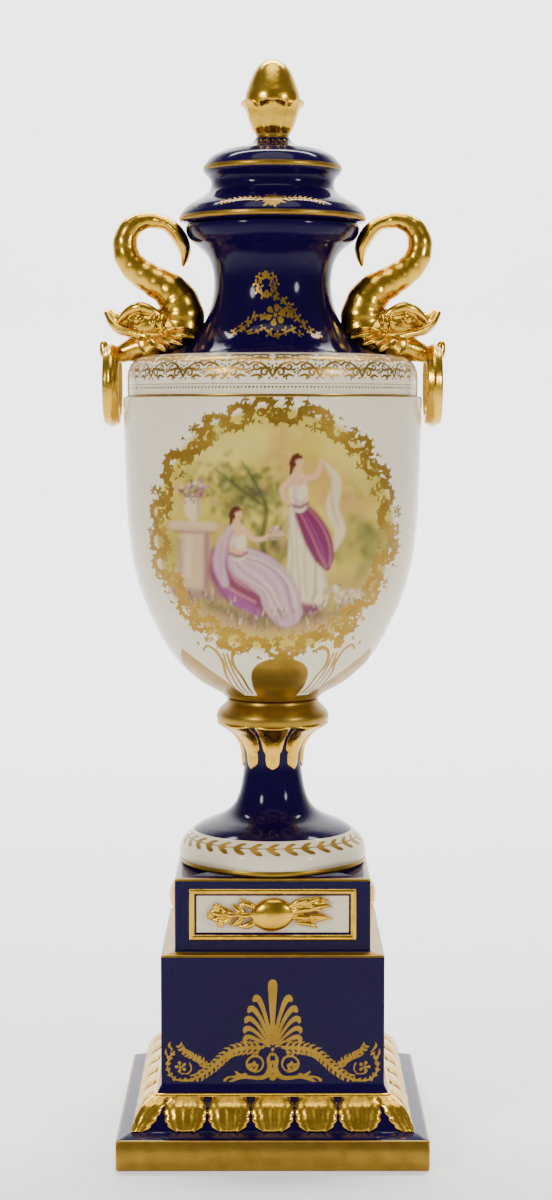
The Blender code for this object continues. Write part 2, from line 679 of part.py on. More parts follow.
# The bud finial as one skin, a cup of petals with flared tips and then the closed bud: each level is
# (radius, height share, swell of the petals, scallop of their tips)
def bud_rings():
    sides = PETALS * 3
    levels = ((0.9 * FINIAL_WAIST_RADIUS, -0.07, 0, 0), (FINIAL_WAIST_RADIUS, 0, 0, 0),
              (0.62 * PETAL_RADIUS, 0.12, 0.012, 0), (0.74 * PETAL_RADIUS, 0.25, 0.021, 0),
              (0.88 * PETAL_RADIUS, 0.37, 0.029, 0.038), (0.93 * PETAL_RADIUS, 0.42, 0.029, 0.062),
              (0.97 * BUD_RADIUS, 0.43, 0, 0.029), (BUD_RADIUS, 0.53, 0, 0), (0.87 * BUD_RADIUS, 0.68, 0, 0),
              (0.73 * BUD_RADIUS, 0.81, 0, 0), (0.51 * BUD_RADIUS, 0.92, 0, 0),
              (0.24 * BUD_RADIUS, 0.98, 0, 0), (0.06 * BUD_RADIUS, 1, 0, 0))
    rings = []
    for radius, share, swell, scallop in levels:
        ring = []
        for i in range(sides):
            angle = 2 * math.pi * i / sides
            petal = math.cos(PETALS * angle + math.pi)
            wide = radius + swell * BUD_HEIGHT * petal
            height = FINIAL_WAIST + (share + scallop * (petal - 1) / 2) * BUD_HEIGHT
            ring.append(Vector((wide * math.cos(angle), wide * math.sin(angle), height)))
        rings.append(ring)
    return rings


def make_lid(model, cutters):
    wall = LID_WALL
    flange = RIM_RADIUS - VASE_WALL - FLANGE_CLEARANCE
    lift = LID_BOTTOM + LID_OVERHANG_LIFT
    outer = outline(
        (0, FINIAL_WAIST),
        (FINIAL_WAIST_RADIUS, FINIAL_WAIST),
        (LID_CONE_RADIUS, LID_CONE, "upright", 2, 2),
        (LID_CAP_RADIUS, LID_CAP + LID_CAP_EDGE, "level", 1.8, 3),
        (LID_CAP_RADIUS, LID_CAP),
        (LID_WAIST_RADIUS, LID_WAIST, "level", 2, 2),
        (LID_DOME_RADIUS, LID_DOME, "upright", 2, 2),
        (LID_RADIUS, LID_EDGE_TOP, "level", 1.9, 3),
        (LID_RADIUS, lift + LID_EDGE_BEVEL),
        (LID_RADIUS - LID_EDGE_BEVEL, lift),
        (RIM_RADIUS - LID_EDGE_BEVEL, LID_BOTTOM),
        (flange, LID_BOTTOM),
        (flange, LID_BOTTOM - FLANGE_DEPTH))
    inner = outline(
        (flange - wall, LID_BOTTOM - FLANGE_DEPTH),
        (flange - wall, LID_EDGE_TOP),
        (LID_WAIST_RADIUS - wall, LID_DOME, "upright", 2, 1),
        (LID_WAIST_RADIUS - wall, LID_WAIST + wall / 2),
        (LID_CAP_RADIUS - 1.3 * wall, LID_CAP),
        (FINIAL_WAIST_RADIUS, LID_CONE - wall, "upright", 2, 2),
        (0, LID_CONE - wall))
    lid = turned("lid", outer + inner, LID_SIDES, False, model)
    return combine(lid, [lofted("bud", bud_rings(), cutters)], "UNION")


def finish(obj, material):
    obj.data.materials.clear()
    obj.data.materials.append(material)
    obj.data.shade_smooth()
    obj.data.set_sharp_from_angle(angle=math.radians(32))


def main():
    clear_scene()
    model = make_collection("porcelain urn")
    cutters = make_collection("tools")
    cobalt = make_material("cobalt_glaze", COBALT)
    ivory = make_material("ivory_glaze", IVORY)
    finish(make_plinth(model, cutters), cobalt)
    finish(make_foot(model, cutters), cobalt)
    finish(make_vase(model, cutters), ivory)
    finish(make_lid(model, cutters), cobalt)


main()
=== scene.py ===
import math

import bmesh
import bpy
import numpy as np
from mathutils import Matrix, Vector


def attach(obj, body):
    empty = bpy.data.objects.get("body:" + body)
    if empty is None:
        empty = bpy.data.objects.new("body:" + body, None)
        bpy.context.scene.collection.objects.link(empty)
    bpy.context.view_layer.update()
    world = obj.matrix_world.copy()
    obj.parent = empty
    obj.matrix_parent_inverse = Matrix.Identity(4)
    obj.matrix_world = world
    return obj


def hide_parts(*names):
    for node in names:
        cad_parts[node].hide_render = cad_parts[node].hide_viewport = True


# Lidded porcelain urn: fine turned surfaces, gilt relief, dolphin handles and painted decoration
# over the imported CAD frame. Sizes are in mm and become metres when a mesh is made.
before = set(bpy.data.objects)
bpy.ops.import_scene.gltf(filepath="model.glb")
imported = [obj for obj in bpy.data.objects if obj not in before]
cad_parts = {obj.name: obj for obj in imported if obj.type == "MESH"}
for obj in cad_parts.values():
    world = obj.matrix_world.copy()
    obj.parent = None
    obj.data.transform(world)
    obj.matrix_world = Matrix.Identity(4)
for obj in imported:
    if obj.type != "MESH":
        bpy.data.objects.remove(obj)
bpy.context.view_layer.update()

mm = 0.001

# Each finish runs from a darker to a lighter colour in a cloudy pattern
finishes = {
    "gilding": ((0.43, 0.230, 0.010), (0.82, 0.50, 0.060)),
    "cobalt": ((0.0036, 0.0006, 0.019), (0.0066, 0.0012, 0.042)),
    "ivory": ((0.66, 0.57, 0.405), (0.74, 0.65, 0.475)),
    "paintedGold": ((0.18, 0.10, 0.010), (0.38, 0.225, 0.032)),
    "goldRoughness": (0.14, 0.34), "glazeRoughness": 0.10, "paintedRoughness": 0.34, "glazeShine": 0.11,
}

# Distances laid where a point is far outside or well inside a painted area
bare, filled = 5.0, -2.0

plinth = {"baseHalf": 84.3, "baseTop": 16.7, "ledgeHalf": 77.6, "ledgeTop": 18.8,
          "mouldingGround": [(75.2, 18.9), (74.6, 20.6), (73.6, 23.4), (71.6, 27.4), (68.8, 31.2),
                             (63.4, 35.2)], "mouldingTop": 36.4, "mouldingTopHalf": 63.2,
          "filletHalf": 60.8, "filletTop": 41.5, "lowerHalf": 60.8, "lowerTop": 112.3, "upperHalf": 53.4,
          "upperTop": 152.7, "wall": 5.5, "edgeRadius": 1.0, "soft": 0.9, "goldLine": 2.6, "opening": 18.0,
          "columns": 141, "rowStep": 0.88,}

leaves = {"perSide": 5, "pitch": 23.6, "half": 11.3, "length": 21.0, "lobes": 9, "relief": 1.9,
          "start": 0.6, "bed": 0.8, "cornerNarrower": 1.2, "cornerLonger": 0.8}

framePanel = {"half": 45.7, "halfHeight": 14.3, "band": 3.9, "middle": 133.0, "recess": 1.2, "bevel": 0.25,
              "section": [(0.0, -0.4), (0.1, 0.2), (0.45, 0.62), (1.0, 0.86), (1.6, 0.9), (2.2, 0.74),
                          (2.75, 0.36), (3.2, -0.16), (3.55, -0.7), (3.8, -1.1), (3.95, -1.3), (3.95, -1.6),
                          (0.0, -1.6)]}

footProfile = [
    (47.0, 153.0), (51.0, 153.0), (51.8, 153.4), (52.2, 154.6), (51.9, 155.8), (51.4, 156.3), (52.3, 157.2),
    (52.9, 158.8), (52.6, 161.2), (51.9, 163.6), (50.6, 165.9), (48.4, 168.2), (44.8, 171.5), (40.6, 174.2),
    (35.1, 176.7), (29.5, 179.0), (25.3, 181.6), (21.6, 185.6), (19.4, 190.2), (18.0, 195.0), (16.9, 201.0),
    (16.2, 206.5), (16.2, 212.0), (16.8, 217.0), (18.4, 221.4), (21.2, 225.4), (24.8, 228.4), (28.4, 230.6),
    (30.6, 232.3), (31.5, 234.4), (31.5, 236.5), (30.6, 238.7), (28.6, 240.9), (26.8, 242.6), (25.6, 244.2),
    (25.2, 245.3), (20.6, 245.4), (20.8, 238.0), (12.2, 214.0), (12.0, 200.0), (30.0, 173.5), (47.5, 160.0),
]
foot = {"blueWithin": 44.6, "whiteBelow": 165.0, "goldAbove": 231.6, "goldLine": (154.7, 3.0), "step": 1.1,
        "around": 240, "laurelRadius": 48, "laurelPairs": 32}

collar = {
    "leaves": 8, "lift": 1.35, "bed": 0.5,
    "ground": [(30.8, 232.6), (28.4, 230.6), (24.8, 228.4), (21.2, 225.4), (18.4, 221.4), (16.8, 217.0),
               (16.2, 212.0), (16.2, 206.6)],
}

bowlProfile = [
    (25.0, 245.9), (26.4, 246.6), (27.9, 248.0), (30.8, 250.0), (40.3, 255.4), (47.3, 261.1), (53.2, 266.7),
    (57.4, 272.4), (61.0, 278.1), (64.0, 283.7), (66.8, 289.4), (69.5, 295.0), (71.9, 300.7), (73.8, 306.3),
    (75.6, 311.9), (76.9, 317.6), (78.1, 323.2), (79.0, 328.8), (79.7, 334.4), (80.3, 340.1), (80.9, 345.7),
    (81.5, 356.9), (82.1, 370.0), (82.6, 385.0), (83.0, 400.0), (83.15, 410.0), (83.1, 413.4), (82.5, 414.3),
    (81.1, 414.7), (80.7, 415.4), (80.8, 418.0), (80.8, 424.0), (80.5, 428.0), (79.4, 431.4), (77.2, 434.2),
    (73.6, 436.2), (69.4, 437.1), (65.5, 437.3), (62.0, 437.9), (56.0, 439.7), (50.0, 442.6), (44.8, 446.4),
    (40.7, 450.8), (37.9, 455.6), (35.7, 460.6), (34.0, 465.6), (32.9, 471.0), (32.5, 476.0), (32.7, 481.0),
    (33.4, 485.6), (34.7, 489.6), (36.8, 493.2), (39.9, 496.4), (43.6, 499.2), (46.2, 501.8), (47.7, 504.6),
    (48.2, 507.2), (48.0, 508.6), (47.0, 509.3), (44.0, 509.4), (43.3, 508.8), (43.3, 503.4), (38.0, 497.0),
    (29.0, 486.0), (27.5, 476.0), (29.5, 464.0), (40.0, 444.0), (62.0, 431.5), (74.0, 426.0), (76.0, 414.0),
    (77.0, 370.0), (73.0, 322.0), (60.0, 285.0), (40.0, 263.0), (14.0, 252.0), (0.0, 251.8),
]

vase = {"underside": 245.9, "rimTop": 509.3, "groove": 414.7, "innerGroove": 414.0, "blueAbove": 437.6,
        "reach": 82, "frontHalfAngle": 1.10, "bandRadius": 78, "beadRadius": 80, "laceRepeats": 20,
        "beads": 250}

lidProfile = [
    (0.0, 548.6), (20.0, 547.0), (33.0, 540.5), (30.4, 533.0), (30.2, 526.0), (38.0, 519.0), (38.4, 505.6),
    (38.9, 505.3), (41.9, 505.3), (42.3, 505.8), (42.4, 509.4), (43.0, 509.8), (47.6, 509.9), (50.6, 511.0),
    (51.5, 511.6), (51.8, 512.6), (51.6, 513.7), (51.0, 515.3), (48.4, 518.6), (46.2, 520.2), (43.5, 521.9),
    (40.4, 523.7), (37.8, 525.4), (35.8, 527.1), (34.6, 528.9), (34.1, 531.0), (34.4, 533.4), (35.5, 535.3),
    (37.0, 536.8), (38.1, 538.3), (38.5, 540.0), (38.1, 541.5), (37.0, 543.2), (35.6, 545.0), (33.9, 546.6),
    (31.3, 548.2), (27.6, 549.9), (22.0, 551.3), (15.6, 552.6), (12.4, 553.7), (10.6, 555.2), (9.5, 556.8),
    (9.0, 557.6), (9.2, 558.6), (9.4, 559.6), (8.8, 560.6), (0.0, 560.8),
]

lid = {"step": 0.6, "around": 300, "blueEdge": 509.0, "rimLine": (512.4, 2.9), "capLine": (540.0, 2.6),
       "goldAbove": 556.6, "domeRadius": 46, "motifs": 4, "coneRadius": 14, "speckRepeats": 20}

finial = {"petals": 6, "bottom": 558.0, "petalBase": 559.0, "petalLength": 19.6, "reach": 18.2,
          "voxel": 0.42,
          "bud": [(8.4, 558.0), (9.6, 560.4), (11.6, 564.6), (13.2, 569.6), (14.6, 573.6), (15.2, 577.4),
                  (15.0, 580.6), (13.8, 584.4), (12.6, 587.6), (11.4, 590.6), (9.9, 593.6), (7.8, 596.4),
                  (5.0, 598.7), (2.4, 599.8), (0.0, 600.0)],}

# Tubes are (reach, side, height, radius), and the tail's last two values are its thickness and width
dolphin = {"spine": [(63.0, 511.4, 4.3), (67.2, 512.1, 4.5), (71.2, 511.7, 4.9), (75.8, 509.9, 5.5),
                     (79.6, 506.4, 6.1), (81.7, 500.8, 6.7), (81.6, 495.6, 7.0), (79.9, 490.4, 7.3),
                     (76.0, 485.6, 7.7), (70.8, 481.6, 8.2), (64.8, 478.0, 8.8), (58.8, 474.6, 9.7),
                     (54.0, 470.0, 10.9), (51.0, 463.6, 11.9), (50.2, 456.6, 12.5), (51.4, 449.4, 12.6),
                     (53.6, 444.6, 11.6)],
           "tail": [(63.6, 511.6, 4.2, 5.4), (58.4, 509.8, 4.0, 6.4), (54.0, 506.0, 4.2, 7.6),
                    (51.0, 501.4, 4.2, 8.2), (48.9, 496.4, 3.6, 7.4), (48.7, 491.4, 2.4, 5.0),
                    (49.6, 487.4, 1.1, 2.4)],
           "snout": [(72.0, 0, 455.2, 9.4), (78.0, 0, 455.2, 8.2), (83.6, 0, 455.4, 6.8),
                     (87.6, 0, 457.4, 5.2), (90.6, 0, 460.4, 3.0)],
           "jaw": [(58.0, 0, 445.0, 9.0), (66.0, 0, 443.0, 9.0), (74.0, 0, 441.6, 7.6),
                   (81.0, 0, 439.6, 5.8), (87.6, 0, 437.4, 4.4), (92.8, 0, 438.2, 3.4),
                   (94.0, 0, 443.4, 2.4)],
           "lip": [(52.0, 12.0, 449.6, 1.6), (60.0, 15.2, 447.8, 1.9), (68.0, 15.6, 447.6, 2.0),
                   (76.0, 13.0, 449.0, 2.0), (83.0, 9.6, 451.2, 2.1), (88.6, 6.4, 455.0, 2.1),
                   (92.2, 2.6, 460.8, 1.6)],
           "brow": [(62.0, 11.2, 458.6, 1.6), (67.0, 11.8, 462.0, 2.6), (73.0, 11.2, 463.6, 3.1),
                    (79.0, 9.6, 461.8, 2.7), (83.4, 7.4, 458.2, 2.0), (86.0, 5.8, 455.6, 1.3)],
           "finTips": [(44.0, 13.0, 449.4), (43.5, 19.4, 446.6), (50.0, 25.0, 442.6), (59.0, 27.8, 439.8),
                       (69.0, 26.4, 438.0)], "voxel": 0.55, "quickVoxel": 0.62,}

ring = {"reach": 89.3, "height": 421.0, "radius": 19.6, "halfWidth": 4.8, "halfDepth": 3.5, "flutes": 6,
        "turns": 120, "sides": 40}

studio = {"ambient": 0.22, "sweep": 380.0, "left": 12.5, "right": 8.0, "top": 6.0,
          "paper": (0.83, 0.83, 0.83), "paperGlow": 0.30, "air": (0.95, 0.95, 0.95, 1), "sweepHalf": 7.0}
camera = {"place": (0.0, -1.275, 0.4053), "pitch": 4.69, "yaw": -0.0856, "lens": 68.25}


def addObject(name, mesh):
    obj = bpy.data.objects.new(name, mesh)
    bpy.context.scene.collection.objects.link(obj)
    return obj


# A mesh from points in mm and faces, with its normals outward
def meshFrom(name, points, faces, smooth=True):
    mesh = bpy.data.meshes.new(name)
    mesh.from_pydata((np.asarray(points, float) * mm).tolist(), [], [tuple(f) for f in faces])
    shape = bmesh.new()
    shape.from_mesh(mesh)
    bmesh.ops.recalc_face_normals(shape, faces=shape.faces)
    shape.to_mesh(mesh)
    shape.free()
    if smooth:
        mesh.shade_smooth()
    return mesh


def setFloat(mesh, name, values):
    layer = mesh.attributes.new(name, "FLOAT", "POINT")
    layer.data.foreach_set("value", np.asarray(values, np.float32))


def setColour(mesh, name, values):
    layer = mesh.attributes.new(name, "FLOAT_COLOR", "POINT")
    rgba = np.ones((len(values), 4), np.float32)
    rgba[:, :values.shape[1]] = values
    layer.data.foreach_set("color", rgba.ravel())


def meshPoints(mesh):
    flat = np.empty(len(mesh.vertices) * 3, np.float32)
    mesh.vertices.foreach_get("co", flat)
    return flat.reshape(-1, 3).astype(float) / mm


# A Catmull-Rom path through the keys, read at about even steps of the given length
def smoothPath(keys, step):
    keys = np.asarray(keys, float)
    ends = np.vstack([2 * keys[0] - keys[1], keys, 2 * keys[-1] - keys[-2]])
    path = []
    for i in range(1, len(ends) - 2):
        a, b, c, d = ends[i - 1:i + 3]
        count = max(1, int(math.ceil(np.linalg.norm((c - b)[:2]) / step)))
        t = (np.arange(count) / count)[:, None]
        path.append(0.5 * (2 * b + (c - a) * t + (2 * a - 5 * b + 4 * c - d) * t * t
                           + (3 * b - a - 3 * c + d) * t ** 3))
    path.append(keys[-1:])
    return np.vstack(path)


# Faces of a grid whose rows may close on themselves
def gridFaces(rows, columns, closedRows=False, closedColumns=False):
    r = np.arange(rows if closedRows else rows - 1)
    c = np.arange(columns if closedColumns else columns - 1)
    r, c = np.meshgrid(r, c, indexing="ij")
    after, down = (c + 1) % columns, (r + 1) % rows
    faces = np.stack([r * columns + c, r * columns + after, down * columns + after, down * columns + c], -1)
    return faces.reshape(-1, 4).tolist()


# A turned surface through (radius, height) points; a point on the axis becomes a pole
def turned(name, profile, angles, closed=False):
    profile = np.asarray(profile, float)
    poles = [i for i in (0, len(profile) - 1) if profile[i, 0] < 1e-6]
    rows = [i for i in range(len(profile)) if i not in poles]
    radius, height = profile[rows, 0], profile[rows, 1]
    points = np.stack([radius[:, None] * np.cos(angles), radius[:, None] * np.sin(angles),
                       np.broadcast_to(height[:, None], (len(rows), len(angles)))], -1).reshape(-1, 3)
    faces = gridFaces(len(rows), len(angles), closed, True)
    points = points.tolist()
    count = len(angles)
    for pole in poles:
        row = 0 if pole == 0 else len(rows) - 1
        points.append((0, 0, profile[pole, 1]))
        faces += [(len(points) - 1, row * count + j, row * count + (j + 1) % count) for j in range(count)]
    return meshFrom(name, points, faces)


# Angles round the axis, with finer steps within a share of the front
def frontAngles(fineStep, coarseStep, reach):
    front = -math.pi / 2
    fine = np.linspace(front - reach, front + reach, int(2 * reach / fineStep) + 1)
    coarse = np.linspace(front + reach, front + 2 * math.pi - reach,
                         int((2 * math.pi - 2 * reach) / coarseStep))
    return np.concatenate([fine, coarse[1:-1]])


# A tube along (x, y, z) with an upright and a sideways radius at each point, and rounded ends
def sweptOval(name, path, wide, thick, sides=24, side=(0, 1, 0)):
    path = np.asarray(path, float)
    wide, thick = np.asarray(wide, float), np.asarray(thick, float)
    tangent = np.gradient(path, axis=0)
    tangent /= np.linalg.norm(tangent, axis=1)[:, None]
    across = np.tile(np.asarray(side, float), (len(path), 1))
    across -= (across * tangent).sum(1)[:, None] * tangent
    across /= np.linalg.norm(across, axis=1)[:, None]
    up = np.cross(tangent, across)
    caps = np.linspace(0, math.pi / 2, 5)[:-1]
    rings = []
    for t in caps[::-1]:
        rings.append((path[0] - tangent[0] * thick[0] * math.sin(t), across[0], up[0],
                      wide[0] * math.cos(t), thick[0] * math.cos(t)))
    for i in range(1, len(path) - 1):
        rings.append((path[i], across[i], up[i], wide[i], thick[i]))
    for t in caps:
        rings.append((path[-1] + tangent[-1] * thick[-1] * math.sin(t), across[-1], up[-1],
                      wide[-1] * math.cos(t), thick[-1] * math.cos(t)))
    turn = np.linspace(0, 2 * math.pi, sides, endpoint=False)[:, None]
    points = np.vstack([c + a * w * np.cos(turn) + u * h * np.sin(turn) for c, a, u, w, h in rings])
    faces = gridFaces(len(rings), sides, False, True)
    points = np.vstack([points, path[0] - tangent[0] * thick[0], path[-1] + tangent[-1] * thick[-1]])
    first, last = len(points) - 2, len(points) - 1
    end = (len(rings) - 1) * sides
    faces += [(first, j, (j + 1) % sides) for j in range(sides)]
    faces += [(last, end + j, end + (j + 1) % sides) for j in range(sides)]
    return meshFrom(name, points, faces)


def roundTube(name, keys, step, sides):
    path = smoothPath(keys, step)
    return sweptOval(name, path[:, :3], path[:, 3], path[:, 3], sides)


def ellipsoid(name, centre, size, turn=0.0, segments=32, rings=18):
    shape = bmesh.new()
    bmesh.ops.create_uvsphere(shape, u_segments=segments, v_segments=rings, radius=1.0)
    mesh = bpy.data.meshes.new(name)
    shape.to_mesh(mesh)
    shape.free()
    points = meshPoints(mesh) * mm * np.asarray(size, float)
    c, s = math.cos(turn), math.sin(turn)
    points = np.stack([points[:, 0] * c - points[:, 2] * s, points[:, 1],
                       points[:, 0] * s + points[:, 2] * c], -1) + np.asarray(centre, float)
    mesh.vertices.foreach_set("co", (points * mm).ravel())
    return mesh


# One mesh from several, kept as separate closed shells
def joined(name, meshes):
    shape = bmesh.new()
    for mesh in meshes:
        shape.from_mesh(mesh)
        bpy.data.meshes.remove(mesh)
    result = bpy.data.meshes.new(name)
    shape.to_mesh(result)
    shape.free()
    result.shade_smooth()
    return result


# The evaluated mesh takes the place of an object's live modifiers
def baked(obj):
    bpy.context.view_layer.update()
    mesh = bpy.data.meshes.new_from_object(obj.evaluated_get(bpy.context.evaluated_depsgraph_get()))
    old = obj.data
    obj.modifiers.clear()
    obj.data = mesh
    mesh.name = obj.name
    if old.users == 0:
        bpy.data.meshes.remove(old)
    return obj


# Overlapping shells run together into one skin, then smoothed
def fused(obj, voxel, passes):
    remesh = obj.modifiers.new("skin", "REMESH")
    remesh.mode = "VOXEL"
    remesh.voxel_size = voxel * mm
    remesh.use_smooth_shade = True
    smooth = obj.modifiers.new("soften", "SMOOTH")
    smooth.factor = 0.6
    smooth.iterations = passes
    return baked(obj)


def newMaterial(name):
    material = bpy.data.materials.new(name)
    material.use_nodes = True
    return material, material.node_tree, material.node_tree.nodes["Principled BSDF"]


def addNode(tree, kind, settings=None, **values):
    node = tree.nodes.new(kind)
    for key, value in (settings or {}).items():
        setattr(node, key, value)
    for key, value in values.items():
        node.inputs[key].default_value = value
    return node


# The share of a node's float that lies below a level, with a soft edge of the given width
def belowLevel(tree, source, level, soft):
    node = addNode(tree, "ShaderNodeMapRange", {"interpolation_type": "SMOOTHSTEP"})
    ends = (("From Min", level + soft), ("From Max", level - soft), ("To Min", 0.0), ("To Max", 1.0))
    for key, value in ends:
        node.inputs[key].default_value = value
    tree.links.new(source, node.inputs["Value"])
    return node.outputs["Result"]


def mixColour(tree, share, first, second):
    node = addNode(tree, "ShaderNodeMix", {"data_type": "RGBA"})
    sockets = {socket.identifier: socket for socket in node.inputs}
    for key, value in (("Factor_Float", share), ("A_Color", first), ("B_Color", second)):
        if isinstance(value, tuple):
            sockets[key].default_value = (*value, 1.0)
        else:
            tree.links.new(value, sockets[key])
    return next(socket for socket in node.outputs if socket.identifier == "Result_Color")


def mixValue(tree, share, first, second):
    node = addNode(tree, "ShaderNodeMapRange")
    node.inputs["To Min"].default_value = first
    node.inputs["To Max"].default_value = second
    tree.links.new(share, node.inputs["Value"])
    return node.outputs["Result"]


def noiseOn(tree, scale, detail=4.0, roughness=0.5):
    place = addNode(tree, "ShaderNodeTexCoord")
    noise = addNode(tree, "ShaderNodeTexNoise", None, Scale=scale, Detail=detail, Roughness=roughness)
    tree.links.new(place.outputs["Object"], noise.inputs["Vector"])
    return noise.outputs["Fac"]


def addBump(tree, shader, height, strength, distance):
    bump = addNode(tree, "ShaderNodeBump", None, Strength=strength, Distance=distance)
    tree.links.new(height, bump.inputs["Height"])
    tree.links.new(bump.outputs["Normal"], shader.inputs["Normal"])


# Burnished gold over fired relief: a little uneven, with darker wear in a cloudy pattern
def gildingMaterial():
    material, tree, shader = newMaterial("gilding")
    shade = mixColour(tree, noiseOn(tree, 90.0, 5.0, 0.6), *finishes["gilding"])
    tree.links.new(shade, shader.inputs["Base Color"])
    shader.inputs["Metallic"].default_value = 1.0
    tree.links.new(mixValue(tree, noiseOn(tree, 160.0), *finishes["goldRoughness"]),
                   shader.inputs["Roughness"])
    addBump(tree, shader, noiseOn(tree, 210.0, 3.0), 0.45, 0.0006)
    return material


# Glazed porcelain: the blue ground, the painting and the gilding come from attributes laid on the mesh,
# where "blue" and "gilt" hold the distance in mm to the edge of each, below zero inside it
def porcelainMaterial():
    material, tree, shader = newMaterial("paintedPorcelain")
    blue, gilt, paint = (addNode(tree, "ShaderNodeAttribute", {"attribute_name": name}).outputs
                         for name in ("blue", "gilt", "paint"))
    cloud = noiseOn(tree, 14.0, 3.0)
    cobalt = mixColour(tree, cloud, *finishes["cobalt"])
    ivory = mixColour(tree, cloud, *finishes["ivory"])
    ground = mixColour(tree, belowLevel(tree, blue["Fac"], 0.0, 0.12), ivory, cobalt)
    picture = mixColour(tree, paint["Alpha"], ground, paint["Color"])
    edge = addNode(tree, "ShaderNodeMath", {"operation": "MULTIPLY_ADD"})
    tree.links.new(noiseOn(tree, 700.0, 2.0), edge.inputs[0])
    edge.inputs[1].default_value = 0.30
    tree.links.new(gilt["Fac"], edge.inputs[2])
    mask = belowLevel(tree, edge.outputs[0], 0.15, 0.14)
    gold = mixColour(tree, noiseOn(tree, 120.0), *finishes["paintedGold"])
    tree.links.new(mixColour(tree, mask, picture, gold), shader.inputs["Base Color"])
    tree.links.new(mixValue(tree, mask, 0.0, 0.85), shader.inputs["Metallic"])
    roughness = mixValue(tree, mask, finishes["glazeRoughness"], finishes["paintedRoughness"])
    tree.links.new(roughness, shader.inputs["Roughness"])
    shader.inputs["Specular IOR Level"].default_value = finishes["glazeShine"]
    return material


# Lays the three paint layers on a mesh: where nothing is painted the ground is bare
def layPaint(mesh, blue, gilt, paint=None):
    setFloat(mesh, "blue", blue)
    setFloat(mesh, "gilt", gilt)
    setColour(mesh, "paint", np.zeros((len(mesh.vertices), 4)) if paint is None else paint)


# Distance to a gold line of a given width round a piece
def lineAt(value, middle, width):
    return np.abs(value - middle) - width / 2


# Points of a mesh as radius, height and angle round the axis
def roundPlaces(points):
    return np.hypot(points[:, 0], points[:, 1]), points[:, 2], np.arctan2(points[:, 1], points[:, 0])


# An angle measured from a middle, between -pi and pi
def turnFrom(angle, middle):
    return (angle - middle + math.pi) % (2 * math.pi) - math.pi


def stepsAround(count):
    return np.linspace(0, 2 * math.pi, count, endpoint=False)


# The four faces of a block: direction across the face, and outward
def sideAxes():
    for turn in range(4):
        angle = turn * math.pi / 2
        c, s = math.cos(angle), math.sin(angle)
        yield np.array([c, s, 0]), np.array([s, -c, 0])


# A square body with rounded corners as points and faces: each row is (half width, height)
def squareBody(rows, columns, corner=4):
    radius = plinth["edgeRadius"]
    ringPlaces = []
    for across, outward in sideAxes():
        ringPlaces += [(across, outward, column, 0.0) for column in columns]
        ringPlaces += [(across, outward, 1.0, step / corner) for step in range(1, corner)]
    points = []
    for half, height in rows:
        near = half - radius
        for across, outward, column, turn in ringPlaces:
            if turn == 0.0:
                place = across * (column * near) + outward * half
            else:
                angle = turn * math.pi / 2
                c, s = radius * math.cos(angle), radius * math.sin(angle)
                place = across * (near + s) + outward * (near + c)
            points.append(place + np.array([0, 0, height]))
    return points, gridFaces(len(rows), len(ringPlaces), True, True)


def filledSteps(first, last, step):
    count = max(1, int(round(abs(last - first) / step)))
    return np.linspace(first, last, count + 1)


# Rows of the plinth's section: up the outside from the base, then down the inside
def plinthRows():
    p = plinth
    base, lower, upper, wall, soft = p["baseHalf"], p["lowerHalf"], p["upperHalf"], p["wall"], p["soft"]
    baseTop, filletTop, lowerTop, upperTop = p["baseTop"], p["filletTop"], p["lowerTop"], p["upperTop"]
    rows = [(base - soft, 0), (base, soft), (base, 8.0), (base, baseTop - soft), (base - soft, baseTop),
            (base - 2.2, baseTop + 0.3), (p["ledgeHalf"], p["ledgeTop"])]
    rows += [tuple(point) for point in smoothPath(p["mouldingGround"], 1.5)]
    top = p["mouldingTopHalf"]
    rows += [(top, p["mouldingTop"] - 0.3), (top - 0.5, p["mouldingTop"] + 0.6),
             (p["filletHalf"] + 0.9, 38.8), (p["filletHalf"] + 0.15, filletTop - 1.0)]
    rows += [(lower, height) for height in filledSteps(filletTop, lowerTop - 1.0, p["rowStep"])]
    rows += [(lower - 0.3, lowerTop - 0.3), (lower - 1.0, lowerTop), (upper + 0.6, lowerTop),
             (upper, lowerTop + 0.6)]
    rows += [(upper, height) for height in filledSteps(lowerTop + 1.5, upperTop - 1.0, p["rowStep"])]
    rows += [(upper - 0.3, upperTop - 0.3), (upper - 1.0, upperTop), (upper - 4.0, upperTop)]
    rows += [(p["opening"], upperTop), (p["opening"], upperTop - wall), (upper - wall, upperTop - wall),
             (upper - wall, lowerTop - wall), (lower - wall, lowerTop - wall),
             (lower - wall, filletTop - 8.0), (base - wall - 4.0, baseTop - wall),
             (base - wall, baseTop - wall - 3.0), (base - wall, 0)]
    return rows


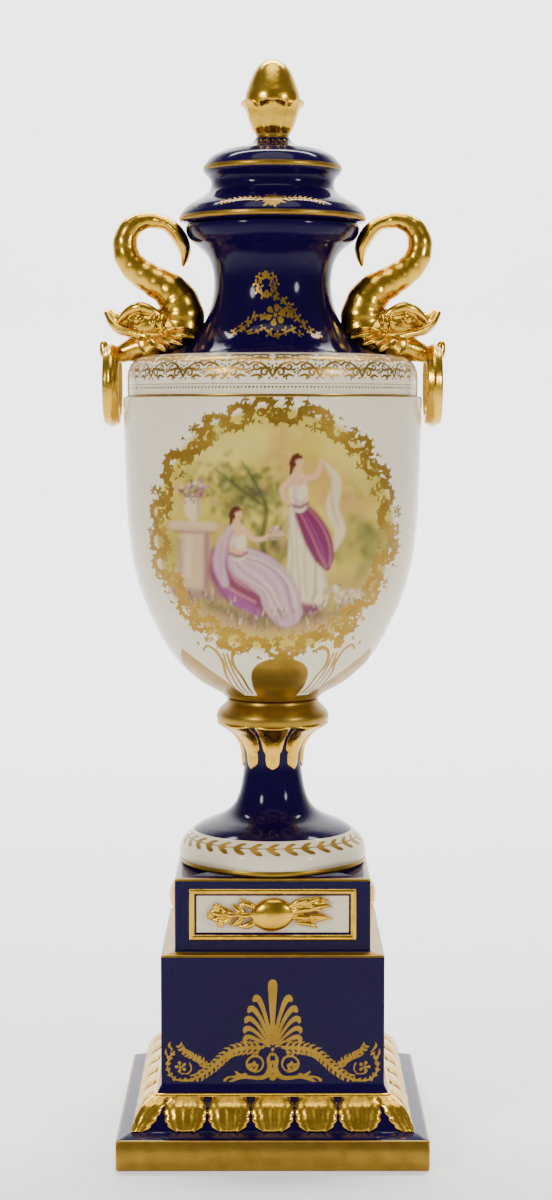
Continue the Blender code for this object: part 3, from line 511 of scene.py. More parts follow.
def makePlinth(porcelain):
    p, f = plinth, framePanel
    mesh = meshFrom("plinthBody", *squareBody(plinthRows(), np.linspace(-1, 1, p["columns"])))
    points = meshPoints(mesh)
    height = points[:, 2]
    alongX = np.abs(points[:, 1]) > np.abs(points[:, 0])
    reach = np.maximum(np.abs(points[:, 0]), np.abs(points[:, 1]))
    across = np.where(alongX, points[:, 0] * -np.sign(points[:, 1]), points[:, 1] * np.sign(points[:, 0]))
    inside = np.maximum(np.abs(across) - (f["half"] - f["band"]),
                        np.abs(height - f["middle"]) - (f["halfHeight"] - f["band"]))
    sunk = (inside < -0.2) & (reach > p["upperHalf"] - 0.2) & (height > p["lowerTop"])
    outward = np.where(alongX[:, None], [[0.0, 1.0, 0.0]], [[1.0, 0.0, 0.0]])
    points = points - np.sign(points) * outward * (sunk[:, None] * f["recess"])
    mesh.vertices.foreach_set("co", (points * mm).ravel())
    gilt = np.minimum.reduce([
        np.where(reach > p["baseHalf"] - 2.0, height - p["baseTop"] - 0.4, bare),
        np.where(reach > p["upperHalf"] + 0.3, lineAt(height, p["lowerTop"], p["goldLine"]), bare),
        np.where(reach > p["upperHalf"] - 2.0, lineAt(height, p["upperTop"], p["goldLine"]), bare),
    ])
    block = (reach > p["lowerHalf"] - 0.3) & (height > p["filletTop"]) & (height < p["lowerTop"] - 2)
    local = np.stack([across[block], height[block]], -1)
    gilt[block] = np.minimum(gilt[block], strokeDistance(local, palmetteStrokes()))
    layPaint(mesh, np.where(sunk, -filled, filled), gilt)
    mesh.materials.append(porcelain)
    body = addObject("plinthBody", mesh)
    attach(body, "root")
    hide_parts("plinth")


# Distance in mm from each point to the nearest stroke, where a stroke is rows of (x, y, half width)
def strokeDistance(points, strokes, reach=3.0):
    best = np.full(len(points), reach)
    for stroke in strokes:
        stroke = np.asarray(stroke, float)
        pad = stroke[:, 2].max() + reach
        low, high = stroke[:, :2].min(0) - pad, stroke[:, :2].max(0) + pad
        near = np.flatnonzero(((points > low) & (points < high)).all(1))
        if len(near) == 0:
            continue
        local, found = points[near], best[near]
        for a, b in zip(stroke[:-1], stroke[1:]):
            run = b[:2] - a[:2]
            t = np.clip((local - a[:2]) @ run / max(run @ run, 1e-9), 0, 1)
            gap = np.hypot(*(local - a[:2] - t[:, None] * run).T) - (a[2] + (b[2] - a[2]) * t)
            found = np.minimum(found, gap)
        best[near] = found
    return best


def dot(x, y, radius):
    return [(x, y, radius), (x + 0.01, y, radius)]


def curve(keys, step=1.2):
    return smoothPath(keys, step)


# A spiral stroke that winds in from its outer end
def spiral(x, y, outer, turns, start, width, hand=1):
    t = np.linspace(0, 1, max(8, int(16 * turns)))
    angle = start + hand * 2 * math.pi * turns * t
    radius = outer * (1 - 0.78 * t)
    return np.stack([x + radius * np.cos(angle), y + radius * np.sin(angle), width * (1 - 0.35 * t)], -1)


def lengthsAlong(path):
    return np.concatenate([[0], np.cumsum(np.hypot(*np.diff(path[:, :2], axis=0).T))])


# Small leaves to both sides of a path, each leaning forward along it
def spray(path, spacing, length, width, lean=0.75, fade=0.4):
    path = np.asarray(path, float)
    along = lengthsAlong(path)
    strokes = [path]

    def placeAt(run):
        return np.interp(run, along, path[:, 0]), np.interp(run, along, path[:, 1])

    for run in np.arange(spacing * 0.5, along[-1], spacing):
        x, y = placeAt(run)
        before, after = placeAt(run - 0.5), placeAt(run + 0.5)
        way = math.atan2(after[1] - before[1], after[0] - before[0])
        size = length * (1 - fade * run / along[-1])
        for side in (-1, 1):
            angle = way + side * lean
            c, s = math.cos(angle) * size, math.sin(angle) * size
            bend = 0.18 * side
            strokes.append([(x, y, 0.3 * width),
                            (x + 0.45 * c - 0.5 * bend * s, y + 0.45 * s + 0.5 * bend * c, width),
                            (x + c + 0.3 * bend * s, y + s - 0.3 * bend * c, 0.12 * width)])
    return strokes


def flower(x, y, radius, petals, turn=0.0):
    strokes = [dot(x, y, radius * 0.20)]
    for i in range(petals):
        angle = turn + 2 * math.pi * i / petals
        c, s = math.cos(angle), math.sin(angle)
        strokes.append([(x + radius * 0.42 * c, y + radius * 0.42 * s, radius * 0.13),
                        (x + radius * 0.70 * c, y + radius * 0.70 * s, radius * 0.29)])
    return strokes


# Clusters of three small leaves strung along a path
def trefoils(path, spacing, size):
    path = np.asarray(path, float)
    along = lengthsAlong(path)
    strokes = [np.stack([path[:, 0], path[:, 1], np.full(len(path), 0.28)], -1)]
    for k, run in enumerate(np.arange(0, along[-1] + 0.01, spacing)):
        side = 1 if k % 2 else -1
        x = np.interp(run, along, path[:, 0]) + side * 0.9 * size
        y = np.interp(run, along, path[:, 1]) + 0.5 * size
        for angle in (k * 0.9, k * 0.9 + 2.09, k * 0.9 + 4.19):
            c, s = size * math.cos(angle), size * math.sin(angle)
            strokes.append([(x + 0.25 * c, y + 0.25 * s, 0.2 * size), (x + c, y + s, 0.46 * size)])
    return strokes


def mirroredStrokes(strokes):
    flipped = []
    for stroke in strokes:
        stroke = np.array(stroke, float)
        stroke[:, 0] *= -1
        flipped.append(stroke)
    return list(strokes) + flipped


# Distance to strokes that repeat along x at an even pitch
def repeated(points, strokes, pitch, reach=3.0):
    local = points.copy()
    local[:, 0] = (local[:, 0] + pitch / 2) % pitch - pitch / 2
    shifted = []
    for stroke in strokes:
        stroke = np.asarray(stroke, float)
        for k in (-1, 0, 1):
            moved = stroke.copy()
            moved[:, 0] += k * pitch
            if moved[:, 0].max() > -pitch / 2 - reach and moved[:, 0].min() < pitch / 2 + reach:
                shifted.append(moved)
    return strokeDistance(local, shifted, reach)


# The palmette between acanthus scrolls on a face of the lower block, in (across, height)
def palmetteStrokes():
    petals = [[(0.9, 63.5, 0.45), (2.2, 72.0, 0.75), (4.6, 81.0, 1.1), (7.0, 87.0, 1.5), (8.8, 88.9, 1.7),
               (10.0, 87.6, 1.1)],
              [(1.3, 63.4, 0.45), (3.8, 71.0, 0.75), (7.0, 78.0, 1.1), (10.0, 82.2, 1.5), (11.9, 83.0, 1.6),
               (12.9, 81.4, 1.0)],
              [(1.7, 63.2, 0.45), (5.0, 69.0, 0.7), (8.8, 74.4, 1.0), (12.0, 77.2, 1.4), (13.8, 77.2, 1.5),
               (14.5, 75.6, 0.9)],
              [(2.1, 63.0, 0.45), (6.2, 67.0, 0.7), (10.2, 70.6, 1.0), (13.2, 72.0, 1.35),
               (14.8, 71.4, 1.4), (15.2, 69.8, 0.8)],
              [(2.5, 62.8, 0.45), (7.2, 65.0, 0.65), (11.0, 66.9, 0.95), (13.6, 67.2, 1.25),
               (15.0, 66.2, 1.25), (15.0, 64.6, 0.7)]]
    strokes = [curve(petal) for petal in petals]
    strokes += [curve([(1.4, 61.8, 0.4), (4.6, 62.2, 0.5), (7.4, 60.2, 0.5), (8.2, 57.4, 0.4)])]
    arm = curve([(5.4, 61.4, 0.8), (14.9, 60.9, 1.0), (22.0, 59.2, 1.1), (28.0, 54.8, 1.0),
                 (33.9, 49.4, 0.9), (41.1, 44.6, 0.7), (48.2, 42.8, 0.55), (54.0, 44.3, 0.5),
                 (57.0, 49.2, 0.5), (56.4, 55.2, 0.5), (53.4, 59.4, 0.4)])
    strokes += spray(arm[: int(len(arm) * 0.60)], 3.0, 6.4, 0.76, 0.78, 0.30)
    strokes += spray(arm[int(len(arm) * 0.58):], 3.2, 2.4, 0.55, 0.9, 0.1)
    strokes += spray(curve([(36.0, 50.5, 0.5), (39.6, 54.4, 0.6), (44.0, 56.6, 0.6), (48.2, 59.0, 0.5),
                            (50.8, 62.6, 0.3)]), 2.2, 3.4, 0.72, 0.9, 0.2)
    strokes += flower(50.0, 50.6, 3.4, 5) + [curve([(50.2, 47.0, 0.4), (46.6, 46.6, 0.4),
                                                    (44.2, 49.4, 0.45), (45.2, 52.6, 0.5)])]
    strokes += [curve([(54.8, 60.2, 0.5), (56.4, 62.4, 0.7), (55.6, 64.6, 0.2)]),
                curve([(57.0, 56.0, 0.4), (58.2, 58.6, 0.6), (58.0, 60.6, 0.2)])]
    strokes += [spiral(10.2, 51.4, 5.7, 1.0, 2.4, 0.62, -1), spiral(10.2, 51.4, 5.7, 0.75, 2.4, 0.55, 1)]
    strokes += flower(10.4, 51.0, 2.9, 5, 0.4)
    strokes += [curve([(1.2, 58.0, 0.5), (2.4, 54.6, 0.9), (1.6, 50.6, 1.2), (2.6, 46.8, 1.5),
                       (5.6, 44.6, 1.2), (11.0, 44.6, 1.0), (16.8, 45.6, 0.8), (20.4, 48.0, 0.5)])]
    strokes += [curve([(8.0, 44.2, 0.8), (14.0, 45.0, 0.9), (20.0, 43.8, 0.8), (25.2, 40.8, 0.7)]),
                curve([(14.0, 47.2, 0.4), (19.0, 45.6, 0.5), (24.4, 44.6, 0.6), (26.2, 43.0, 0.9)]),
                dot(25.4, 40.7, 1.0)]
    strokes = mirroredStrokes(strokes)
    strokes += [curve([(0, 63.0, 0.6), (0, 74.0, 1.1), (0, 86.0, 2.0), (0, 94.0, 2.5), (0, 96.6, 2.4)])]
    strokes += [dot(0, 60.2, 0.95), dot(0, 57.4, 0.85), dot(0, 53.0, 1.2), dot(0, 44.8, 1.9),
                dot(0, 48.6, 1.4)]
    return strokes


# A flowering spray for the neck, in (across, height)
def neckStrokes():
    strokes = flower(1.6, 458.4, 6.2, 6, 0.3)
    turns = np.linspace(4.6, -1.3, 16)
    wreath = [(-4.0 + 5.2 * math.cos(a), 474.0 + 5.8 * math.sin(a), 0.3) for a in turns]
    strokes += trefoils(wreath, 2.2, 1.6)
    for keys, size in ((((-1.0, 468.6), (3.0, 467.2), (7.2, 465.6), (10.8, 462.2)), 1.5),
                       (((6.8, 457.4), (12.0, 457.6), (16.8, 454.6), (21.0, 450.0), (25.4, 446.2)), 1.6),
                       (((-4.6, 456.4), (-10.0, 457.6), (-14.4, 453.8), (-19.6, 450.2), (-25.4, 446.8)), 1.5),
                       (((-4.4, 450.6), (0.6, 446.4), (6.2, 448.4), (10.6, 450.6), (15.4, 446.4)), 1.4),
                       (((5.0, 461.6), (9.0, 460.8), (13.2, 460.2)), 1.3),
                       (((-16.0, 450.0), (-12.0, 448.2), (-8.0, 449.4)), 1.2)):
        strokes += trefoils(curve([(x, y, 0.3) for x, y in keys]), 2.5, size)
    return strokes


# Scroll and leaf lace for the shoulder band in (along, up), one repeat of it
def laceStrokes():
    strokes = [spiral(3.9, 5.2, 2.6, 1.1, 2.6, 0.62, -1), spiral(8.3, 8.4, 2.1, 1.0, 3.6, 0.58, 1),
               curve([(0, 3.0, 0.55), (2.0, 6.4, 0.6), (5.0, 9.6, 0.6), (9.6, 11.0, 0.6), (11.9, 9.2, 0.5)]),
               curve([(5.4, 2.6, 0.5), (8.0, 4.0, 0.65), (11.0, 3.0, 0.4)])]
    strokes += spray(curve([(0.6, 11.8, 0.4), (3.2, 13.4, 0.5), (7.2, 14.0, 0.5), (11.6, 12.8, 0.4)]), 1.5,
                     2.1, 0.6, 0.8, 0.1)
    strokes += spray(curve([(0.8, 16.4, 0.4), (4.0, 17.4, 0.5), (8.0, 17.6, 0.5), (12.0, 16.6, 0.4)]), 1.5,
                     1.9, 0.6, 0.8, 0.1)
    strokes = mirroredStrokes(strokes)
    strokes += flower(0, 7.2, 2.4, 5, math.pi / 2) + flower(12.4, 6.0, 2.1, 5)
    for x, y in ((2.0, 9.8), (6.2, 11.8), (7.0, 1.9), (10.4, 6.4), (1.7, 2.2), (5.6, 7.6),
                 (10.8, 15.2), (2.4, 15.0), (6.4, 15.8)):
        strokes += [dot(x, y, 0.62), dot(-x, y, 0.62)]
    return strokes


# Broad lustred leaves of the bowl's calyx with fine lines between them, as distance in mm
def calyxDistance(angle, height, radius):
    leavesRound, offset, base, tip = 6, 0.08, 246.0, 273.5
    best = np.full(len(angle), bare)
    share = np.clip((height - base) / (tip - base), 0, 1.2)
    for i in range(leavesRound):
        turn = turnFrom(angle, -math.pi / 2 + offset + 2 * math.pi * i / leavesRound)
        if i:
            half = np.interp(share, [0, 0.25, 0.5, 0.8, 1.0, 1.12, 1.2],
                             [0.46, 0.44, 0.36, 0.21, 0.09, 0.0, -0.1])
        else:
            half = (0.31 * np.sqrt(np.clip(1 - (share / 1.02) ** 5, 0, 1)) + 0.05 * (1 - share)
                    - 2 * np.clip(share - 1.02, 0, 1))
        best = np.minimum(best, (np.abs(turn) - half) * radius * 0.8)
    best = np.minimum(best, (height - 250.2) * 1.4)
    lines = [curve([(6.5, 252.0, 0.45), (5.4, 262.0, 0.5), (3.0, 270.0, 0.5), (4.6, 277.0, 0.45),
                    (9.0, 280.0, 0.4), (12.6, 277.4, 0.3)]),
             curve([(2.2, 252.0, 0.35), (1.4, 264.0, 0.4), (1.0, 276.0, 0.3)]), dot(8.0, 284.0, 0.6),
             dot(14.4, 281.0, 0.6)]
    lines = mirroredStrokes(lines) + flower(0, 281.5, 2.8, 5, math.pi / 2)
    middle = -math.pi / 2 + offset - math.pi / leavesRound
    local = np.stack([(angle - middle) * 56, height], -1)
    lines = [np.asarray(line, float) * [1, 1, 1.7] for line in lines]
    return np.minimum(best, repeated(local, lines, 2 * math.pi * 56 / leavesRound))


# The gold rococo scrolls round the picture, in (across, height), with their inner and outer reach
oval = {"middle": 343.5, "outerX": 67.0, "outerZ": 69.0, "innerX": 57.5, "innerZ": 58.5, "shiftX": 0.6,
        "borderSeed": 11, "pictureSeed": 5}


def ovalPoint(share, angle):
    return ((oval["innerX"] + (oval["outerX"] - oval["innerX"]) * share) * math.cos(angle),
            (oval["innerZ"] + (oval["outerZ"] - oval["innerZ"]) * share) * math.sin(angle))


def borderStrokes():
    draw = np.random.default_rng(oval["borderSeed"])
    strokes = []
    for count, i in [(28, i) for i in range(28)] + [(18, i) for i in range(18)]:
        angle = 2 * math.pi * (i + 0.5 + draw.uniform(-0.15, 0.15)) / count
        hand = 1 if i % 2 else -1
        grow = draw.uniform(0.75, 1.15)
        scroll = [ovalPoint(0.5 + hand * away * grow, angle + turn) for away, turn in
                  ((-0.75, -0.125), (0.10, -0.105), (0.52, -0.045), (0.48, 0.025), (0.05, 0.07))]
        path = curve([(x, y, width) for (x, y), width in zip(scroll, (0.35, 0.75, 0.95, 0.85, 0.6))], 1.2)
        strokes += spray(path, 3.0, 3.3 * grow, 0.62, 0.95, 0.15)
        ahead = math.atan2(path[-1][1] - path[-3][1], path[-1][0] - path[-3][0])
        side = ahead - hand * math.pi / 2
        reach = 2.3 * grow
        strokes.append(spiral(path[-1][0] + reach * math.cos(side), path[-1][1] + reach * math.sin(side),
                              reach, 1.25, side + math.pi, 0.62, -hand))
        x, y = ovalPoint(0.5 - hand * 0.55, angle + 0.02)
        if i % 3 == 0:
            strokes += flower(x, y, draw.uniform(1.7, 2.5), 5, angle)
        else:
            strokes += [dot(x, y, 0.9), dot(x + 1.6, y - 0.8, 0.6)]
    for i in range(170):
        angle = 2 * math.pi * i / 170 + draw.uniform(-0.02, 0.02)
        x, y = ovalPoint(draw.uniform(-0.05, 0.95), angle)
        way = angle + draw.uniform(-1.6, 1.6)
        reach = draw.uniform(1.2, 2.4)
        strokes.append([(x, y, 0.62), (x + reach * math.cos(way), y + reach * math.sin(way), 0.15)])
    return [np.asarray(s, float) + [oval["shiftX"], oval["middle"], 0] for s in strokes]


# Soft paint: each dab is (colour, strokes, softness, strength), laid one over another
def paintPicture(points, dabs, base):
    colour = np.tile(np.asarray(base, float), (len(points), 1))
    for tint, strokes, soft, strength in dabs:
        gap = strokeDistance(points, strokes, soft + 0.5)
        weight = np.clip((soft - gap) / (2 * soft), 0, 1)
        weight = (weight * weight * (3 - 2 * weight) * strength)[:, None]
        colour = colour * (1 - weight) + np.asarray(tints[tint], float) * weight
    return colour


tints = {"sky": (0.50, 0.375, 0.055), "skyPale": (0.63, 0.53, 0.15), "haze": (0.45, 0.24, 0.07),
         "olive": (0.22, 0.18, 0.03), "leaf": (0.055, 0.065, 0.022), "leafLight": (0.22, 0.23, 0.06),
         "plum": (0.15, 0.018, 0.07), "violet": (0.24, 0.06, 0.18), "rose": (0.45, 0.17, 0.18),
         "cream": (0.60, 0.49, 0.29), "shade": (0.34, 0.23, 0.14), "skin": (0.58, 0.33, 0.17),
         "hair": (0.075, 0.02, 0.012), "stone": (0.50, 0.34, 0.18), "stoneDark": (0.20, 0.07, 0.09),
         "ground": (0.38, 0.26, 0.07), "lilac": (0.44, 0.27, 0.31), "line": (0.13, 0.04, 0.04),}


# A draped figure from simple strokes: head, hair, body, arms, and a skirt with folds along its own
# path of (across, up, half width), in shares of the figure's size. No face is drawn
def figure(x, y, size, skirt, gown, sash, arms):
    def at(dx, dy, width):
        return (x + dx * size, y + dy * size, width * size)

    path = curve([at(*key) for key in skirt], 1.5)
    across = np.gradient(path[:, :2], axis=0)
    across /= np.linalg.norm(across, axis=1)[:, None]
    across = np.stack([across[:, 1], -across[:, 0]], -1)
    dabs = [("line", [path + [0, 0, 0.5]], 1.2, 0.35), (gown, [path], 1.0, 1.0)]
    for k, share in enumerate(np.linspace(-0.85, 0.85, 9)):
        fold = path[2:].copy()
        sway = share + 0.10 * np.sin(np.linspace(0, 5, len(fold)) + k)
        fold[:, :2] += across[2:] * (fold[:, 2] * sway)[:, None]
        fold[:, 2] = np.linspace(0.3, 0.75, len(fold)) * (0.6 + 0.3 * (k % 3))
        dabs.append((("shade", "cream", "line", "cream")[k % 4], [fold], 0.8,
                     (0.6, 0.7, 0.45, 0.55)[k % 4]))
    if sash:
        tint, keys = sash
        wrap = curve([at(*key) for key in keys], 1.5)
        side = np.gradient(wrap[:, :2], axis=0)
        side = np.stack([side[:, 1], -side[:, 0]], -1) / np.linalg.norm(side, axis=1)[:, None]
        dabs.append(("line", [wrap + [0, 0, 0.5]], 1.2, 0.4))
        dabs.append((tint, [wrap], 0.9, 1.0))
        for k, share in enumerate((-0.7, -0.35, 0.0, 0.35, 0.72)):
            fold = wrap.copy()
            fold[:, :2] += side * (wrap[:, 2] * share)[:, None]
            fold[:, 2] = np.linspace(0.25, 0.6, len(wrap))
            dabs.append((("rose", "line", "violet")[k % 3], [fold], 0.8, 0.6))
    dabs += [
        ("cream", [curve([at(-0.2, 7.0, 2.2), at(0.0, 3.6, 2.5), at(0.2, 0.6, 2.2)], 2.0)], 0.8, 1.0),
        ("lilac", [curve([at(-1.4, 6.0, 0.5), at(-1.0, 3.0, 0.6), at(-0.6, 0.6, 0.5)], 2.0)], 0.7, 0.7),
        ("skin", [curve([at(-0.2, 9.6, 0.9), at(-0.1, 8.2, 1.3), at(-0.1, 7.2, 1.9)], 2.0)], 0.6, 1.0),
        ("shade", [curve([at(-1.6, 2.6, 0.2), at(0.6, 1.0, 0.35), at(2.2, 2.4, 0.2)], 1.5)], 0.5, 0.7),
        ("plum", [curve([at(-2.2, 0.6, 0.5), at(0.2, -0.2, 0.6), at(2.4, 0.8, 0.5)], 1.5)], 0.6, 0.8),
    ]
    for arm in arms:
        dabs.append(("shade", [curve([at(dx + 0.25, dy - 0.35, width) for dx, dy, width in arm], 1.2)], 0.5,
                     0.6))
        dabs.append(("skin", [curve([at(*key) for key in arm], 1.2)], 0.45, 1.0))
    dabs += [("hair",
              [[at(-0.7, 12.6, 1.35), at(-1.5, 11.4, 1.05)], [at(-1.7, 10.6, 0.6), at(-2.1, 8.6, 0.3)]],
              0.6, 1.0),
             ("skin", [[at(0.25, 12.0, 1.05), at(0.35, 11.2, 0.85)]], 0.5, 1.0),
             ("hair", [[at(-0.2, 13.3, 0.9), at(0.7, 13.1, 0.45)]], 0.5, 1.0),
             ("rose", [[at(0.6, 11.4, 0.4), at(0.7, 11.3, 0.4)]], 0.6, 0.35)]
    return dabs


def pictureDabs():
    draw = np.random.default_rng(oval["pictureSeed"])
    dabs = []

    def scatter(count, names, spotX, spotY, size, soft, strength):
        for k in range(count):
            x, y = draw.normal(*spotX), draw.normal(*spotY)
            dx, dy = draw.uniform(-size, size), draw.uniform(-size, size)
            dabs.append((names[int(draw.integers(0, len(names)))],
                         [[(x, y, size * 0.35), (x + dx, y + dy, size * 0.5)]], soft,
                         draw.uniform(*strength)))

    for k in range(70):
        x, y = draw.uniform(-60, 60), draw.uniform(-10, 64)
        tint = ("skyPale", "sky", "haze", "olive")[int(draw.integers(0, 4))]
        start = (x - draw.uniform(4, 14), y, draw.uniform(2, 6))
        end = (x + draw.uniform(4, 14), y + draw.uniform(-4, 4), draw.uniform(1, 4))
        dabs.append((tint, [[start, end]], 5.0, draw.uniform(0.12, 0.34)))
    dabs += [("haze", [[(24, 30, 10), (40, 12, 12)]], 7.0, 0.5),
             ("haze", [[(2, 54, 5), (6, 30, 7)]], 5.0, 0.5),
             ("skyPale", [[(-34, 40, 10), (-10, 48, 8)]], 7.0, 0.5),
             ("skyPale", [[(34, 44, 9), (46, 30, 6)]], 6.0, 0.4),
             ("olive", [[(-60, -12, 8), (-20, -8, 6), (20, -12, 7), (60, -6, 9)]], 6.0, 0.55),
             ("ground", [[(-58, -34, 13), (0, -42, 17), (58, -34, 13)]], 7.0, 0.9),
             ("rose", [[(-30, -48, 5), (26, -50, 5)]], 6.0, 0.35)]
    scatter(60, ("leafLight", "olive", "leaf"), (48, 5), (-8, 9), 4.0, 2.2, (0.2, 0.5))
    scatter(170, ("leaf", "leafLight", "olive", "leaf"), (-13, 10), (20, 7), 3.2, 1.4, (0.3, 0.75))
    scatter(60, ("leaf", "leafLight"), (-30, 8), (26, 6), 2.6, 1.2, (0.25, 0.6))
    scatter(120, ("leaf", "leaf", "olive", "plum"), (-3, 8), (-4, 12), 3.0, 1.6, (0.25, 0.6))
    scatter(160, ("haze", "olive", "skyPale", "rose"), (0, 34), (8, 26), 3.4, 1.8, (0.12, 0.3))
    dabs += [("leaf",
              [curve([(-4, -20, 1.8), (-6, -4, 1.5), (-4, 12, 1.2), (-10, 26, 0.9), (-17, 37, 0.4)])], 0.9,
              0.85),
             ("leaf", [curve([(-6, 14, 0.9), (-20, 24, 0.7), (-31, 33, 0.3)])], 0.7, 0.8),
             ("stone", [[(-43, -28, 9.0), (-42, -6, 8.6)]], 1.2, 1.0),
             ("stone", [[(-54, 2.2, 2.4), (-32, 2.2, 2.4)]], 0.8, 1.0),
             ("cream", [[(-46, -24, 2.0), (-45, -4, 2.0)], [(-53, 3.4, 0.6), (-33, 3.4, 0.6)]], 1.4, 0.5),
             ("stoneDark", [[(-35.6, -30, 1.8), (-35.4, -2, 1.6)], [(-53, -1.0, 0.6), (-32, -1.0, 0.6)]],
              1.6, 0.8),
             ("stoneDark", [[(-54, -34, 2.6), (-30, -35, 3.0)]], 2.2, 0.7),
             ("stoneDark", [[(-50, -30, 1.2), (-50, -6, 1.0)]], 1.8, 0.5),
             ("cream", [[(-43, 6.0, 1.4), (-43, 9.6, 4.2), (-43, 14.4, 4.6)]], 0.8, 0.85),
             ("shade", [[(-40, 8.2, 1.0), (-39.6, 14.6, 1.2)]], 1.2, 0.8),
             ("stoneDark", [[(-46.8, 17.8, 0.6), (-39.2, 17.8, 0.6)]], 0.7, 0.8),
             ("leaf", [[(-49, 20.4, 1.4), (-38, 21.4, 1.6)]], 1.8, 0.75)]
    scatter(46, ("rose", "cream", "plum", "leafLight", "violet"), (-43.4, 4.4), (21.6, 2.6), 1.5, 0.6,
            (0.6, 0.95))
    standing = [(0, 0.0, 2.4), (0.8, -4.0, 3.4), (1.6, -9.0, 4.2), (2.0, -15.0, 4.9), (2.2, -20.5, 5.4),
                (2.6, -24.0, 5.6)]
    dabs += [("cream", [curve([(27, 36, 0.6), (33, 26, 2.6), (31, 12, 3.4), (35, 0, 3.0), (32, -10, 1.2)])],
              1.2, 0.85),
             ("shade", [curve([(30, 28, 0.4), (31, 14, 0.7), (34, 2, 0.5)])], 0.9, 0.6)]
    dabs += figure(13, 13, 1.98, standing, "cream",
                   ("plum",
                    [(0.3, -0.2, 1.7), (2.6, -3.6, 2.9), (4.9, -8.0, 3.5), (6.6, -12.5, 2.9),
                     (7.6, -16.2, 1.0)]),
                   [[(-2.0, 7.4, 0.85), (-4.4, 4.4, 0.75), (-3.2, 1.6, 0.6), (-2.2, 1.0, 0.7)],
                    [(2.0, 7.4, 0.85), (4.8, 8.4, 0.75), (6.0, 11.2, 0.6), (6.2, 12.2, 0.65)]])
    seated = [(-0.4, 0.0, 2.8), (2.2, -2.4, 4.6), (6.6, -4.8, 5.2), (10.6, -8.6, 5.2), (12.4, -13.0, 5.4),
              (13.8, -16.4, 4.4)]
    dabs += [("leaf", [curve([(-34, -40, 3.0), (-6, -48, 4.0), (24, -45, 3.0)])], 4.0, 0.7),
             ("plum",
              [curve([(-30, -12, 3.4), (-27, -24, 7.0), (-15, -33, 9.0), (4, -41, 6.0), (22, -42, 2.4)])],
              2.0, 0.92),
             ("violet", [curve([(-31, -20, 1.6), (-24, -34, 3.0), (-8, -44, 2.2)])], 1.4, 0.8),
             ("rose",
              [curve([(-30, -18, 0.6), (-25, -29, 1.0), (-10, -38, 0.7)]),
               curve([(-26, -14, 0.5), (-20, -26, 0.9), (-8, -33, 0.6)])], 1.0, 0.65),
             ("line",
              [curve([(-28, -16, 0.4), (-22, -29, 0.7), (-8, -37, 0.5)]),
               curve([(-32, -24, 0.4), (-24, -38, 0.7)])], 0.9, 0.6)]
    dabs += figure(-19, -13, 1.86, seated, "lilac", None,
                   [[(-2.0, 7.2, 0.85), (-3.8, 4.0, 0.75), (-0.8, 1.4, 0.6), (1.0, 1.2, 0.6)],
                    [(2.0, 7.2, 0.85), (4.6, 4.8, 0.75), (7.4, 5.0, 0.6), (8.8, 5.8, 0.6)]])
    dabs += [("lilac", [curve([(-23, 2, 1.2), (-27, -6, 2.4), (-29, -17, 3.2), (-26, -28, 2.2)])], 1.2,
              0.9),
             ("shade", [curve([(-25, 0, 0.4), (-28, -10, 0.7), (-28, -24, 0.6)])], 0.8, 0.6),
             ("violet", [curve([(-22, 0, 0.5), (-24, -8, 0.8), (-25, -20, 0.7)])], 0.9, 0.6),
             ("stone", [[(0.0, -2.0, 2.4), (3.0, -1.6, 2.4)]], 0.7, 0.9),
             ("line", [[(-3.0, -3.4, 0.5), (6.0, -3.0, 0.5)]], 0.6, 0.6),
             ("cream", [[(36, -36, 3.6), (44, -36, 3.8)], [(32.4, -31.4, 2.0), (33.0, -31, 2.0)]], 0.9,
              0.95),
             ("shade",
              [[(36, -40.4, 0.6), (36, -44, 0.5)], [(44, -40.4, 0.6), (44, -44, 0.5)],
               [(38, -38.6, 1.4), (44, -38.4, 1.2)]], 0.7, 0.65),
             ("line", [[(31.0, -31.4, 0.3), (31.4, -31.2, 0.3)], [(34.4, -29.6, 0.5), (35.6, -29.0, 0.3)]],
              0.5, 0.8),
             ("leaf", [[(30, -45, 1.2), (50, -44, 1.6)]], 2.0, 0.55)]
    scatter(22, ("cream", "shade"), (40, 3.6), (-35.4, 1.8), 1.4, 0.6, (0.3, 0.7))
    scatter(16, ("rose", "plum", "cream"), (1.4, 1.6), (0.6, 0.9), 1.2, 0.5, (0.6, 0.95))
    for k in range(300):
        x = draw.uniform(-54, 54)
        y = -33 - 15 * abs(draw.normal(0, 0.55)) - 9 * (abs(x) < 20)
        tint = ("leafLight", "olive", "rose", "leaf", "cream", "plum")[int(draw.integers(0, 6))]
        dabs.append((tint, [[(x, y, 0.45), (x + draw.uniform(-1.2, 1.2), y + draw.uniform(1.2, 4.0), 0.15)]],
                     0.5, draw.uniform(0.3, 0.8)))
    middle = np.array([oval["shiftX"], oval["middle"], 0])
    return [(tint, [np.asarray(s, float) + middle for s in strokes], soft, strength)
            for tint, strokes, soft, strength in dabs]


